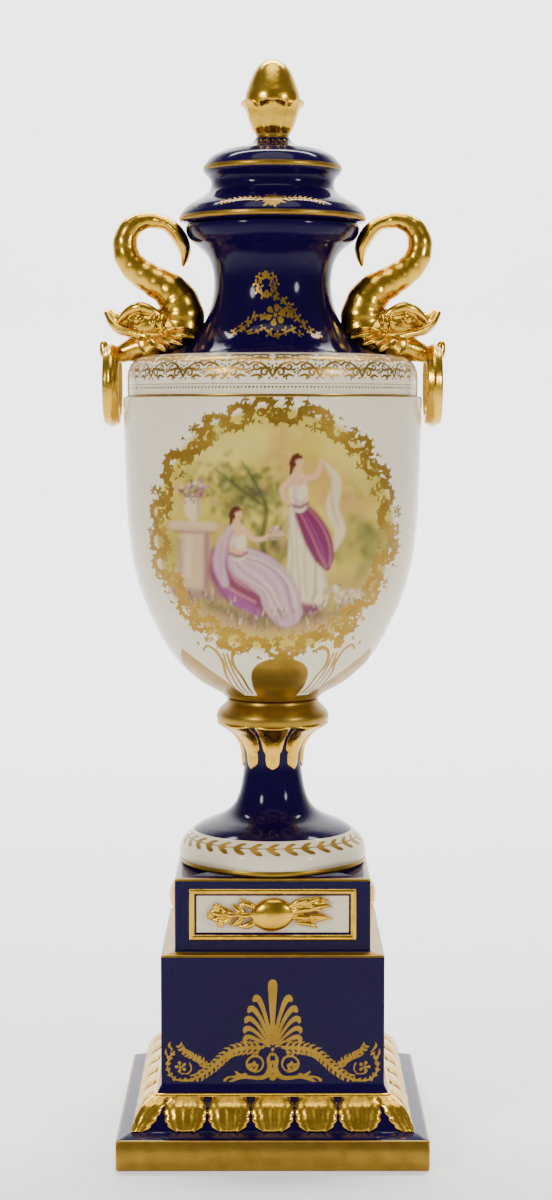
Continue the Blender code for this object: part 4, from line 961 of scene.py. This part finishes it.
# Scrolls one above the other for each side of the bowl, in (along, height)
def sideStrokes():
    strokes = [curve([(0, 308, 0.5), (0.4, 330, 0.7), (0, 352, 0.7), (0, 372, 0.4)])]
    half = spray(curve([(1, 314, 0.5), (9, 318, 0.8), (13, 327, 0.8), (9, 334, 0.7), (3, 331, 0.5)]), 3.2,
                 3.6, 0.7, 0.8, 0.2)
    half += spray(curve([(1, 340, 0.5), (8, 342, 0.8), (12, 350, 0.8), (8, 358, 0.7), (3, 354, 0.5)]), 3.2,
                  3.4, 0.7, 0.8, 0.2)
    half += [spiral(6.0, 326.5, 3.4, 1.2, 0.4, 0.7, 1), spiral(6.0, 349.5, 3.0, 1.2, 0.4, 0.7, 1),
             curve([(1, 362, 0.6), (5, 366, 0.8), (8, 372, 0.3)]), dot(11, 340, 0.9), dot(15, 320, 0.8),
             dot(6, 308, 0.8)]
    strokes += mirroredStrokes(half)
    return strokes + flower(0, 337, 3.6, 5, math.pi / 2) + flower(0, 374, 2.8, 5, math.pi / 2)


# A looser gilt spray for the plain back: a ring of leaves with a flower in it
def backStrokes():
    turns = np.linspace(0.35, 2 * math.pi - 0.35, 30)
    wreath = curve([(34 * math.sin(a), 345 + 34 * math.cos(a), 0.6) for a in turns], 1.6)
    strokes = spray(wreath, 4.6, 5.4, 1.0, 0.6, 0.1)
    strokes += flower(0, 345, 9.0, 6, math.pi / 2) + flower(0, 379, 3.6, 5, math.pi / 2)
    for side in (-1, 1):
        strokes += spray(curve([(side * 5, 341, 0.5), (side * 12, 334, 0.7), (side * 19, 335, 0.5)]), 2.8,
                         4.4, 0.8, 0.7, 0.3)
    return strokes


# The run along an outer profile, read from height
def runAlong(profile, heights, low, high):
    part = profile[(profile[:, 1] >= low) & (profile[:, 1] <= high)]
    part = part[np.argsort(part[:, 1])]
    return np.interp(heights, part[:, 1], lengthsAlong(part))


# A shell leaf in its own plane: columns across, run down and height off the ground. Its top is flat,
# with a keyhole left on each side, and its edge is lobed
def leafSheet(half, length, relief, lobes):
    share, across = np.meshgrid(np.linspace(0, 1, 44), np.linspace(-1, 1, 53), indexing="ij")
    width = half * np.interp(share, [0, 0.05, 0.12, 0.2, 0.3, 0.5, 0.66, 0.8, 0.88, 0.94, 0.98, 1],
                             [0.86, 0.82, 0.84, 0.95, 0.99, 1.0, 0.96, 0.86, 0.74, 0.56, 0.34, 0.08])
    width += 0.95 * (np.abs(np.cos(math.pi * share * lobes / 2)) ** 0.6 - 0.6) * np.clip(share * 6 - 1, 0, 1)
    scallop = 0.95 * (np.abs(np.cos(math.pi * across * 1.5)) ** 0.6 - 0.6) * share ** 6
    fan = across * (1 + 0.25 * share)
    rib = 0.5 + 0.5 * np.cos(math.pi * 4 * fan)
    swell = np.sin(math.pi * np.clip(share * 0.9 + 0.10, 0, 1)) ** 0.5
    edge = 1 - np.abs(across) ** 3
    wave = 0.5 + 0.5 * np.cos(2 * math.pi * (share * 3.2 - 0.25 * across ** 2))
    veins = (0.14 * rib + 0.10 * wave * np.abs(across)) * np.clip(share * 3, 0, 1)
    height = relief * edge ** 0.6 * (0.36 + 0.40 * swell + veins)
    height = np.maximum(height * np.interp(share, [0, 0.93, 1], [1, 1, 0.35]), 0.22)
    return across * width, share * length + scallop, height


# Radius, height and outward direction on a ground line, at runs along it
def groundAt(path, run):
    length = lengthsAlong(path)
    slope = np.gradient(path, axis=0)
    slope /= np.linalg.norm(slope, axis=1)[:, None]
    sides = (path[:, 0], path[:, 1], -slope[:, 1], slope[:, 0])
    return [np.interp(run, length, values) for values in sides]


# A closed sheet from its top and its underside, two grids of points of one shape
def thickSheet(name, top, under):
    rows, columns = top.shape[:2]
    count = rows * columns
    upper = gridFaces(rows, columns)
    lower = [[i + count for i in reversed(face)] for face in upper]
    border = (list(range(columns)) + [r * columns + columns - 1 for r in range(1, rows)]
              + [(rows - 1) * columns + c for c in range(columns - 2, -1, -1)]
              + [r * columns for r in range(rows - 2, 0, -1)])
    rim = [(a, b, b + count, a + count) for a, b in zip(border, border[1:] + border[:1])]
    return meshFrom(name, np.vstack([top.reshape(-1, 3), under.reshape(-1, 3)]), upper + lower + rim)


# A leaf mesh laid on the moulding of the front face, or folded over the corner
def layLeaf(name, half, length, folded):
    across, run, lift = leafSheet(half, length, leaves["relief"], leaves["lobes"])
    ground, height, away, up = groundAt(smoothPath(plinth["mouldingGround"][::-1], 0.5),
                                        run + leaves["start"])
    layers = []
    for drop in (lift, lift * 0 - leaves["bed"]):
        reach = ground + away * drop
        x, y = across, -reach
        if folded:
            x = np.where(across <= 0, reach + across, reach)
            y = np.where(across <= 0, -reach, -(reach - across))
        layers.append(np.stack([x, y, height + up * drop], -1))
    return thickSheet(name, *layers)


def socketOf(group, name):
    return next(item.identifier for item in group.interface.items_tree if item.name == name)


# Node group that sets a piece along the four sides of the plinth, a number of times on each
def rowOnFourSides():
    group = bpy.data.node_groups.new("rowOnFourSides", "GeometryNodeTree")
    for name, kind in (("Piece", "Object"), ("Count", "Int"), ("Pitch", "Float"), ("Finish", "Material")):
        group.interface.new_socket(name, in_out="INPUT", socket_type="NodeSocket" + kind)
    group.interface.new_socket("Geometry", in_out="OUTPUT", socket_type="NodeSocketGeometry")
    link = group.links.new
    given = addNode(group, "NodeGroupInput").outputs

    def calculated(operation, first, second):
        node = addNode(group, "ShaderNodeMath", {"operation": operation})
        link(first, node.inputs[0])
        if isinstance(second, float):
            node.inputs[1].default_value = second
        else:
            link(second, node.inputs[1])
        return node.outputs[0]

    def onAxis(axis, value):
        node = addNode(group, "ShaderNodeCombineXYZ")
        link(value, node.inputs[axis])
        return node.outputs[0]

    def instances(points, piece):
        node = addNode(group, "GeometryNodeInstanceOnPoints")
        link(points, node.inputs["Points"])
        link(piece, node.inputs["Instance"])
        return node

    span = calculated("MULTIPLY", calculated("SUBTRACT", given["Count"], 1.0), given["Pitch"])
    line = addNode(group, "GeometryNodeMeshLine")
    link(given["Count"], line.inputs["Count"])
    link(onAxis("X", calculated("MULTIPLY", span, -0.5)), line.inputs["Start Location"])
    link(onAxis("X", given["Pitch"]), line.inputs["Offset"])
    piece = addNode(group, "GeometryNodeObjectInfo")
    piece.inputs["As Instance"].default_value = True
    link(given["Piece"], piece.inputs["Object"])
    side = instances(line.outputs["Mesh"], piece.outputs["Geometry"])
    corners = addNode(group, "GeometryNodeMeshLine", None, Count=4, Offset=(0, 0, 0))
    quarter = calculated("MULTIPLY", addNode(group, "GeometryNodeInputIndex").outputs[0], math.pi / 2)
    around = instances(corners.outputs["Mesh"], side.outputs["Instances"])
    link(onAxis("Z", quarter), around.inputs["Rotation"])
    real = addNode(group, "GeometryNodeRealizeInstances")
    finish = addNode(group, "GeometryNodeSetMaterial")
    link(around.outputs["Instances"], real.inputs["Geometry"])
    link(real.outputs["Geometry"], finish.inputs["Geometry"])
    link(given["Finish"], finish.inputs["Material"])
    link(finish.outputs["Geometry"], addNode(group, "NodeGroupOutput").inputs["Geometry"])
    return group


# An object made by the row node group from a pattern, which is then removed
def spread(name, group, pattern, count, pitch, finish):
    obj = addObject(name, bpy.data.meshes.new(name))
    modifier = obj.modifiers.new("spread", "NODES")
    modifier.node_group = group
    for key, value in (("Piece", pattern), ("Count", count), ("Pitch", pitch * mm), ("Finish", finish)):
        modifier[socketOf(group, key)] = value
    baked(obj)
    obj.data.shade_smooth()
    bpy.data.objects.remove(pattern, do_unlink=True)
    return obj


def makeMouldingLeaves(group, gilding):
    half, length, pitch = leaves["half"], leaves["length"], leaves["pitch"]
    leaf = addObject("leafPattern", layLeaf("leafPattern", half, length, False))
    folded = addObject("cornerPattern", layLeaf("cornerPattern", half - leaves["cornerNarrower"],
                                                length + leaves["cornerLonger"], True))
    pieces = [spread("mouldingLeaves", group, leaf, leaves["perSide"], pitch, gilding),
              spread("cornerLeaves", group, folded, 1, pitch, gilding)]
    top, height = plinth["mouldingTopHalf"], plinth["mouldingTop"]
    section = [(0.1, -2.0), (1.0, -1.9), (1.5, -1.1), (1.2, -0.2), (0.3, 0.3), (-0.8, 0.2), (-0.8, -2.0)]
    rows = [(top + out, height + up) for out, up in section]
    mesh = meshFrom("mouldingRail", *squareBody(rows, np.linspace(-1, 1, 9)))
    mesh.materials.append(gilding)
    pieces.append(addObject("mouldingRail", mesh))
    for piece in pieces:
        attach(piece, "root")
        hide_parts("plinth")


# A rectangular picture frame with mitred corners on one face, from a section of (inset, lift) points
def frameMesh(name, across, outward):
    f = framePanel
    points = []
    for inset, lift in f["section"]:
        for sx, sz in ((-1, -1), (1, -1), (1, 1), (-1, 1)):
            points.append(across * sx * (f["half"] - inset) + outward * (plinth["upperHalf"] + lift)
                          + np.array([0, 0, f["middle"] + sz * (f["halfHeight"] - inset)]))
    return meshFrom(name, points, gridFaces(len(f["section"]), 4, True, True), False)


def makeFrames(gilding):
    meshes = [frameMesh(f"frame{i}", across, outward) for i, (across, outward) in enumerate(sideAxes())]
    obj = addObject("panelFrames", joined("panelFrames", meshes))
    obj.data.materials.append(gilding)
    bevel = obj.modifiers.new("soften", "BEVEL")
    bevel.width = framePanel["bevel"] * mm
    bevel.segments = 2
    bevel.limit_method = "ANGLE"
    baked(obj)
    obj.data.set_sharp_from_angle(angle=math.radians(40))
    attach(obj, "root")
    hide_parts("plinth")


def makeFoot(porcelain):
    f = foot
    profile = smoothPath(footProfile + footProfile[:1], f["step"])[:-1]
    mesh = turned("footBody", profile, stepsAround(f["around"]), True)
    points = meshPoints(mesh)
    radius, height, angle = roundPlaces(points)
    blue = np.where(height > f["whiteBelow"], radius - f["blueWithin"], bare)
    gilt = np.minimum(np.where(height > f["goldAbove"], filled, bare), lineAt(height, *f["goldLine"]))
    gilt = np.where((radius < 50) & (height <= 200), bare, gilt)
    disc = (radius > 42) & (radius < 53) & (height > 157.5) & (height < 176)
    reach = f["laurelRadius"]
    pitch = 2 * math.pi * reach / f["laurelPairs"]
    pair = [curve([(-3.2, 0, 0.4), (-0.6, 1.5, 1.0), (2.0, 2.7, 0.95), (4.2, 3.2, 0.15)]),
            curve([(-3.2, 0, 0.5), (-0.8, -1.3, 1.15), (2.0, -2.6, 1.1), (4.4, -3.3, 0.2)]),
            [(-pitch / 2, 0.2, 0.38), (pitch / 2, 0.2, 0.38)]]
    run = (radius[disc] - 48.6) * -1.35
    local = np.stack([(angle[disc] + math.pi / 2) * reach, run], -1)
    gilt[disc] = np.minimum(gilt[disc], repeated(local, pair, pitch))
    layPaint(mesh, blue, gilt)
    mesh.materials.append(porcelain)
    body = addObject("footBody", mesh)
    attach(body, "root")
    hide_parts("foot")


# The vase is two closed shells that meet in the groove under the shoulder band
def makeVase(porcelain):
    v = vase
    fine = smoothPath(bowlProfile, 0.8)
    rim = int(np.argmax(fine[:, 1] > v["rimTop"])) + 4
    cut = int(np.argmax(fine[:, 1] > v["groove"]))
    innerCut = rim + int(np.argmax(fine[rim:, 1] < v["innerGroove"]))
    wall = smoothPath(bowlProfile, 0.95)
    wall = wall[:int(np.argmax(wall[:, 1] > v["groove"] - 0.4))]
    bowl = np.vstack([[(0, v["underside"])], wall, fine[cut:cut + 1], fine[innerCut:-8:14], fine[-1:]])
    neck = np.vstack([fine[cut:rim], fine[rim:innerCut:6], fine[innerCut:innerCut + 1]])
    for name, profile, frontStep, backStep, rows in (("vaseBowl", bowl, 0.85, 1.6, len(wall) + 1),
                                                     ("vaseNeck", neck, 0.75, 1.45, rim - cut)):
        angles = frontAngles(frontStep / v["reach"], backStep / v["reach"], v["frontHalfAngle"])
        mesh = turned(name, profile, angles, name == "vaseNeck")
        mesh.set_sharp_from_angle(angle=math.radians(60))
        paintVase(mesh, rows * len(angles), fine[:rim])
        mesh.materials.append(porcelain)
        piece = addObject(name, mesh)
        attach(piece, "root")
        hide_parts("vase")


# Cobalt above the band, gold all round, and the picture on the front
def paintVase(mesh, outerCount, outline):
    points = meshPoints(mesh)
    radius, height, angle = roundPlaces(points)
    outer = np.arange(len(points)) < outerCount
    blue = np.where(outer, vase["blueAbove"] - height, 3.0)
    gilt = np.full(len(points), bare)

    def gild(where, distance):
        gilt[where] = np.minimum(gilt[where], distance)

    low = outer & (height < 290)
    gild(low, calyxDistance(angle[low], height[low], radius[low]))

    band = outer & (height > 413.5) & (height < 438.6) & (radius > 62)
    run, turn = runAlong(outline, height, 414.6, 437.2)[band], angle[band] + math.pi / 2
    lacePitch = 2 * math.pi * vase["bandRadius"] / vase["laceRepeats"]
    gild(band, repeated(np.stack([turn * vase["bandRadius"], run - 7.0], -1), laceStrokes(), lacePitch))
    beadPitch = 2 * math.pi * vase["beadRadius"] / vase["beads"]
    gild(band,
         repeated(np.stack([turn * vase["beadRadius"], run - 4.6], -1), [dot(0, 0, 0.62)], beadPitch, 1.0))
    for middle, width in ((0.4, 1.1), (6.2, 0.55), (3.0, 0.5)):
        gild(band, lineAt(run, middle, width))

    neck = outer & (height > 440) & (height < 485) & (np.abs(points[:, 0]) < 30)
    neckReach = np.interp(height[neck], [440, 458, 485], [46, 40, 36])
    wall = outer & (height > 295) & (height < 400)
    for where, middle, strokes, reach in ((neck, -math.pi / 2, neckStrokes(), neckReach),
                                          (neck, math.pi / 2, neckStrokes(), neckReach),
                                          (wall, 0.0, sideStrokes(), 78), (wall, math.pi, sideStrokes(), 78),
                                          (wall, math.pi / 2, backStrokes(), 80)):
        local = np.stack([turnFrom(angle[where], middle) * reach, height[where]], -1)
        gild(where, strokeDistance(local, strokes))

    front = (points[:, 1] < -20) & outer
    local = np.stack([points[front, 0], height[front]], -1)
    gild(front, strokeDistance(local, borderStrokes()))
    fromMiddle = local - [oval["shiftX"], oval["middle"]]
    inside = np.hypot(fromMiddle[:, 0] / oval["innerX"], fromMiddle[:, 1] / oval["innerZ"])
    ragged = 1.14 + 0.012 * np.sin(9 * np.arctan2(fromMiddle[:, 1], local[:, 0]))
    paint = np.zeros((len(points), 4))
    paint[front, :3] = paintPicture(local, pictureDabs(), tints["sky"])
    paint[front, 3] = np.clip((ragged - inside) / 0.05, 0, 1)
    layPaint(mesh, blue, gilt, paint)


def makeLid(porcelain):
    profile = smoothPath(lidProfile, lid["step"])
    mesh = turned("lidBody", profile, stepsAround(lid["around"]))
    widest = int(np.argmax(profile[:, 0]))
    points = meshPoints(mesh)
    radius, height, angle = roundPlaces(points)
    gilt = np.minimum.reduce([
        np.where((radius > 50.4) & (height > lid["blueEdge"]), lineAt(height, *lid["rimLine"]), bare),
        np.where(radius > 37.2, lineAt(height, *lid["capLine"]), bare),
        lid["goldAbove"] - height,
    ])
    outside = np.arange(len(points)) // lid["around"] + 1 > widest
    dome = outside & (height > 514.0) & (height < 530.5)
    sprig = spray(curve([(4.6, 8.2, 0.4), (11.0, 9.4, 0.45), (18.0, 9.0, 0.4), (25.0, 7.0, 0.3)]), 2.8, 4.2,
                  0.62, 0.85, 0.25)
    motif = mirroredStrokes(sprig + flower(26.4, 6.6, 2.4, 5))
    for i in range(14):
        way = 2 * math.pi * i / 14
        reach = 7.4 if i % 2 else 5.6
        motif.append([(0, 8.0, 2.0), (reach * math.cos(way), 8.0 + reach * math.sin(way), 0.25)])
    run = runAlong(profile[widest:], height, 513.0, 531.0)
    local = np.stack([(angle[dome] + math.pi / 2) * lid["domeRadius"], run[dome]], -1)
    pitch = 2 * math.pi * lid["domeRadius"] / lid["motifs"]
    gilt[dome] = np.minimum(gilt[dome], repeated(local, motif, pitch))
    cone = (height > 550.4) & (height < lid["goldAbove"])
    specks = [dot(0, 0.6, 0.8), dot(1.9, 2.0, 0.6), dot(0.3, 3.2, 0.7), [(1.4, 0.4, 0.5), (2.6, 1.2, 0.3)]]
    local = np.stack([angle[cone] * lid["coneRadius"], height[cone] - 551.6], -1)
    pitch = 2 * math.pi * lid["coneRadius"] / lid["speckRepeats"]
    gilt[cone] = np.minimum(gilt[cone], repeated(local, specks, pitch, 1.5))
    layPaint(mesh, np.full(len(points), -5.0), gilt)
    mesh.materials.append(porcelain)
    body = addObject("lidBody", mesh)
    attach(body, "root")
    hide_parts("lid")


# A bud finial: a cup of petals with curled tips round a closed bud, run together
def makeFinial(gilding):
    f = finial
    bud = np.vstack([[0.0, f["bottom"]], smoothPath(f["bud"], 0.8)])
    meshes = [turned("bud", bud, stepsAround(96))]
    s, a = np.meshgrid(np.linspace(0, 1, 26), np.linspace(-1, 1, 25), indexing="ij")
    edge = np.abs(a)
    tip = 1 - 0.17 * edge ** 1.5
    droop = np.clip((s - 0.84) / 0.16, 0, 1) ** 1.5
    z = f["petalBase"] + f["petalLength"] * s * tip - 1.5 * droop * (1 - edge ** 1.5)
    radius = np.interp(f["petalBase"] + 19.0 * s * tip, [558, 562, 567, 572, 575, 578.5],
                       [9.4, 12.0, 13.9, 15.4, 17.0, 18.3])
    radius += 1.6 * np.clip(s - 0.78, 0, 1) / 0.22 * (0.4 + 0.6 * edge)
    radius += 0.8 * np.exp(-(a / 0.15) ** 2) * s - 1.5 * edge ** 3 * (1 - 0.5 * s)
    for i in range(f["petals"]):
        turn = 2 * math.pi * (i + 0.5) / f["petals"] + a * math.pi / f["petals"] * (1.0 - 0.10 * s)
        layers = []
        for drop, sink in ((0.0, 0.0), (-1.4, 0.3)):
            r = np.minimum(radius + drop, f["reach"])
            layers.append(np.stack([r * np.cos(turn), r * np.sin(turn), z - sink * s], -1))
        meshes.append(thickSheet(f"petal{i}", *layers))
    obj = addObject("budFinial", joined("budFinial", meshes))
    fused(obj, f["voxel"], 4)
    obj.data.materials.clear()
    obj.data.materials.append(gilding)
    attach(obj, "root")
    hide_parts("lid")


# Gilt leaves hanging from the collar down the stem
def makeCollarLeaves(gilding):
    ground = smoothPath(collar["ground"], 0.6)
    s, a = np.meshgrid(np.linspace(0, 1, 40), np.linspace(-1, 1, 21), indexing="ij")
    radius, height, away, up = groundAt(ground, s * lengthsAlong(ground)[-1])
    half = np.interp(s, [0, 0.25, 0.50, 0.60, 0.66, 0.72, 0.80, 0.90, 0.96, 1.0],
                     [10.2, 8.6, 6.6, 5.9, 5.4, 4.1, 4.2, 3.8, 2.6, 0.6])
    along = np.interp(s, [0, 0.15, 0.85, 1], [0.9, 0.8, 1.0, 0.5])
    lift = collar["lift"] * (1 - np.abs(a) ** 3) * along + 0.15
    meshes = []
    for i in range(collar["leaves"]):
        layers = []
        for drop in (lift, lift * 0 - collar["bed"]):
            r = radius + away * drop
            turn = -math.pi / 2 + 2 * math.pi * i / collar["leaves"] + a * half / np.maximum(r, 1)
            layers.append(np.stack([r * np.cos(turn), r * np.sin(turn), height + up * drop], -1))
        meshes.append(thickSheet(f"collarLeaf{i}", *layers))
    obj = addObject("collarLeaves", joined("collarLeaves", meshes))
    obj.data.materials.append(gilding)
    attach(obj, "root")
    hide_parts("foot")


# The parts of the right dolphin, to be run together, in (reach, side, height)
def dolphinParts():
    d = dolphin
    spine, tail = smoothPath(d["spine"], 1.5), smoothPath(d["tail"], 1.2)
    swell = spine[:, 2] * (1 + 0.022 * np.sin(np.arange(len(spine)) * 1.1))
    parts = [sweptOval("spine", np.insert(spine[:, :2], 1, 0, 1), swell * 1.02, swell, 40),
             sweptOval("tail", np.insert(tail[:, :2], 1, 0, 1), tail[:, 3], tail[:, 2], 32),
             ellipsoid("head", (68.0, 0, 453.6), (14.6, 14.8, 10.4), 0.05),
             ellipsoid("cheek", (58.0, 0, 449.0), (13.0, 14.0, 10.6)),
             ellipsoid("forehead", (72.4, 0, 457.6), (10.4, 13.0, 7.6), -0.1),
             roundTube("snout", d["snout"], 1.2, 28)]
    for side in (-1, 1):
        def tube(name, keys, sides):
            parts.append(roundTube(name, [(x, side * y, z, r) for x, y, z, r in keys], 1.0, sides))

        tube("lip", d["lip"], 14)
        tube("brow", d["brow"], 14)
        parts.append(ellipsoid("eye", (74.2, side * 13.2, 457.0), (2.9, 2.6, 3.0)))
        for k in range(2):
            tube("fold",
                 [(64.6 - 3.6 * k, 13.6 - 0.7 * k, 451.6, 1.0),
                  (65.6 - 4.0 * k, 14.6 - 0.9 * k, 455.2, 1.4),
                  (64.4 - 4.4 * k, 12.4 - 1.0 * k, 460.0 - 0.6 * k, 0.9)], 12)
        for k, (reach, out, height) in enumerate(d["finTips"]):
            root, tip = np.array([60.0 + 2.0 * k, side * 8.0, 447.4]), np.array([reach, side * out, height])
            path = [root, root * 0.55 + tip * 0.45 + [0, 0, 1.4], root * 0.2 + tip * 0.8 + [0, 0, 0.8], tip]
            keys = smoothPath(np.column_stack([path, [4.4, 6.0, 4.8, 1.6], [3.2, 2.6, 2.0, 1.1]]), 1.0)
            away = tip - root
            parts.append(sweptOval("fin", keys[:, :3], keys[:, 3], keys[:, 4], 20, (-away[1], away[0], 0)))
    parts.append(roundTube("jaw", d["jaw"], 1.2, 24))
    return parts


def mirroredMesh(mesh):
    copy = mesh.copy()
    points = meshPoints(copy)
    points[:, 0] *= -1
    copy.vertices.foreach_set("co", (points * mm).ravel())
    copy.flip_normals()
    return copy


def makeDolphins(gilding):
    right = addObject("dolphinRight", joined("dolphinRight", dolphinParts()))
    fused(right, dolphin["voxel"], 5)
    right.data.materials.clear()
    right.data.materials.append(gilding)
    left = addObject("dolphinLeft", mirroredMesh(right.data))
    for obj in (right, left):
        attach(obj, "root")
        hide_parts("vase")


# The ring in the dolphin's mouth: a flat band with flutes along it
def makeRings(gilding):
    centre = np.array([ring["reach"], 0, ring["height"]])
    points = []
    for angle in stepsAround(ring["turns"]):
        outward = np.array([0, math.sin(angle), math.cos(angle)])
        for t in stepsAround(ring["sides"]):
            flute = 1 - 0.10 * (0.5 + 0.5 * math.cos(ring["flutes"] * t))
            points.append(centre + outward * (ring["radius"] + ring["halfDepth"] * flute * math.sin(t))
                          + np.array([ring["halfWidth"] * flute * math.cos(t), 0, 0]))
    mesh = meshFrom("ringRight", points, gridFaces(ring["turns"], ring["sides"], True, True))
    mesh.materials.append(gilding)
    right = addObject("ringRight", mesh)
    left = addObject("ringLeft", mirroredMesh(mesh))
    for obj in (right, left):
        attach(obj, "root")
        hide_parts("vase")


# A pale floor that sweeps up into a backdrop far behind the piece, left open in front
def makeStage():
    bend = [(-6.0, 0.0), (1.6, 0.0), (2.2, 0.05), (2.7, 0.25), (3.0, 0.6), (3.1, 1.1), (3.1, 5.0)]
    half = studio["sweepHalf"]
    sweep = bpy.data.meshes.new("studioSweep")
    sweep.from_pydata([(x, y, z) for y, z in bend for x in (-half, half)], [],
                      [(2 * i, 2 * i + 1, 2 * i + 3, 2 * i + 2) for i in range(len(bend) - 1)])
    sweep.shade_smooth()
    obj = addObject("studioSweep", sweep)
    paper, _, shader = newMaterial("sweepPaper")
    shader.inputs["Base Color"].default_value = (*studio["paper"], 1.0)
    shader.inputs["Roughness"].default_value = 0.8
    shader.inputs["Emission Color"].default_value = (1, 1, 1, 1)
    shader.inputs["Emission Strength"].default_value = studio["paperGlow"]
    sweep.materials.append(paper)
    world = bpy.data.worlds.new("studio")
    bpy.context.scene.world = world
    world.use_nodes = True
    background = world.node_tree.nodes["Background"]
    background.inputs["Color"].default_value = studio["air"]
    background.inputs["Strength"].default_value = studio["ambient"]


def addLight(name, place, target, size, power):
    light = bpy.data.lights.new(name, "AREA")
    light.shape = "ELLIPSE"
    light.size, light.size_y = size
    light.energy = power
    obj = bpy.data.objects.new(name, light)
    bpy.context.scene.collection.objects.link(obj)
    obj.location = place
    obj.rotation_euler = (Vector(target) - Vector(place)).to_track_quat("-Z", "Y").to_euler()


def makeCamera():
    data = bpy.data.cameras.new("photoCamera")
    data.lens = camera["lens"]
    data.sensor_width = 36.0
    data.clip_start = 0.05
    obj = bpy.data.objects.new("photoCamera", data)
    bpy.context.scene.collection.objects.link(obj)
    obj.location = camera["place"]
    obj.rotation_euler = (math.radians(90 - camera["pitch"]), 0, math.radians(camera["yaw"]))
    bpy.context.scene.camera = obj


# Fruit with leaves and blossoms to its left and fluted pods to its right, on the front panel; each leaf
# is (across, up, angle, length, half width)
sprigLeaves = [(-9, 4.4, 152, 10, 1.9), (-9, -3.6, 196, 10, 1.9), (-11, 0.4, 176, 10, 1.9),
               (-15, 1.2, 146, 9, 1.8), (-16, -1.2, 212, 9, 1.8), (-19, 0.2, 172, 9, 1.8),
               (-22, 1.0, 148, 8.5, 1.7), (-22, -1.0, 208, 8.5, 1.7), (-26, 0.4, 164, 8.5, 1.6),
               (-26, -0.6, 196, 8, 1.6), (9, 4.2, 16, 15, 2.0), (9, 1.0, 4, 18, 2.1),
               (9, -2.0, -4, 15, 1.9), (15, 4.4, 20, 14, 1.8), (17, 2.0, 10, 16, 1.9),
               (18, -1.4, -4, 14, 1.7), (13, -4.4, -14, 12, 1.5), (22, 4.0, 26, 10, 1.4),
               (21, -4.0, 8, 12, 1.3)]
blossoms = [(-30.5, 4.2, 2.3), (-28.5, -4.6, 2.1), (-34.0, -0.4, 2.0), (-17.0, 5.4, 1.7)]


def makeFruit(group, gilding):
    middle, ground = framePanel["middle"], plinth["upperHalf"] - framePanel["recess"]
    parts = [ellipsoid("fruit", (0, -ground - 1.4, middle + 0.1), (12.0, 5.0, 9.1), 0.12, 48, 28)]
    for k, (x, z, angle, length, half) in enumerate(sprigLeaves):
        way = np.array([math.cos(math.radians(angle)), math.sin(math.radians(angle))]) * length
        start = np.array([x, z])
        bent = start + np.array([-way[1], way[0]]) * 0.08
        keys = curve([(*start, 0.5 * half), (*(bent + 0.35 * way), half), (*(bent + 0.7 * way), 0.75 * half),
                      (*(start + way), 0.12 * half)], 1.0)
        lift = 0.9 + 0.5 * (k % 3)
        line = np.stack([keys[:, 0], -ground - lift - 0.3 * keys[:, 2], middle + keys[:, 1]], -1)
        parts.append(sweptOval("sprig", line, 0.75 + 0.45 * keys[:, 2], keys[:, 2], 20))
    for x, z, radius in blossoms:
        for turn in stepsAround(5):
            place = (x + 0.62 * radius * math.cos(turn), -ground - 2.2,
                     middle + z + 0.62 * radius * math.sin(turn))
            parts.append(ellipsoid("petal", place, (0.55 * radius, 1.3, 0.55 * radius), 0, 12, 8))
        parts.append(ellipsoid("heart", (x, -ground - 3.3, middle + z), (0.34 * radius, 0.8, 0.34 * radius),
                               0, 12, 8))
    pattern = addObject("fruitPattern", joined("fruitPattern", parts))
    fused(pattern, 0.38, 1)
    fruit = spread("panelFruit", group, pattern, 1, 0.0, gilding)
    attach(fruit, "root")
    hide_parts("plinth")


gilding = gildingMaterial()
porcelain = porcelainMaterial()
makePlinth(porcelain)
print("plinth done")
sideRows = rowOnFourSides()
makeMouldingLeaves(sideRows, gilding)
makeFrames(gilding)
makeFruit(sideRows, gilding)
print("leaves and frames done")
makeFoot(porcelain)
makeCollarLeaves(gilding)
makeVase(porcelain)
makeLid(porcelain)
makeFinial(gilding)
print("turned pieces done")
makeDolphins(gilding)
makeRings(gilding)
print("handles done")
makeStage()
addLight("softLeft", (-0.95, -1.15, 0.95), (0, 0, 0.32), (0.24, 0.38), studio["left"])
addLight("softRight", (1.05, -0.95, 0.75), (0, 0, 0.32), (0.20, 0.32), studio["right"])
addLight("softTop", (0.0, -0.3, 1.55), (0, 0, 0.3), (0.9, 0.7), studio["top"])
addLight("sweepLight", (0.0, 1.2, 3.2), (0, 2.9, 0.9), (4.0, 1.0), studio["sweep"])
makeCamera()
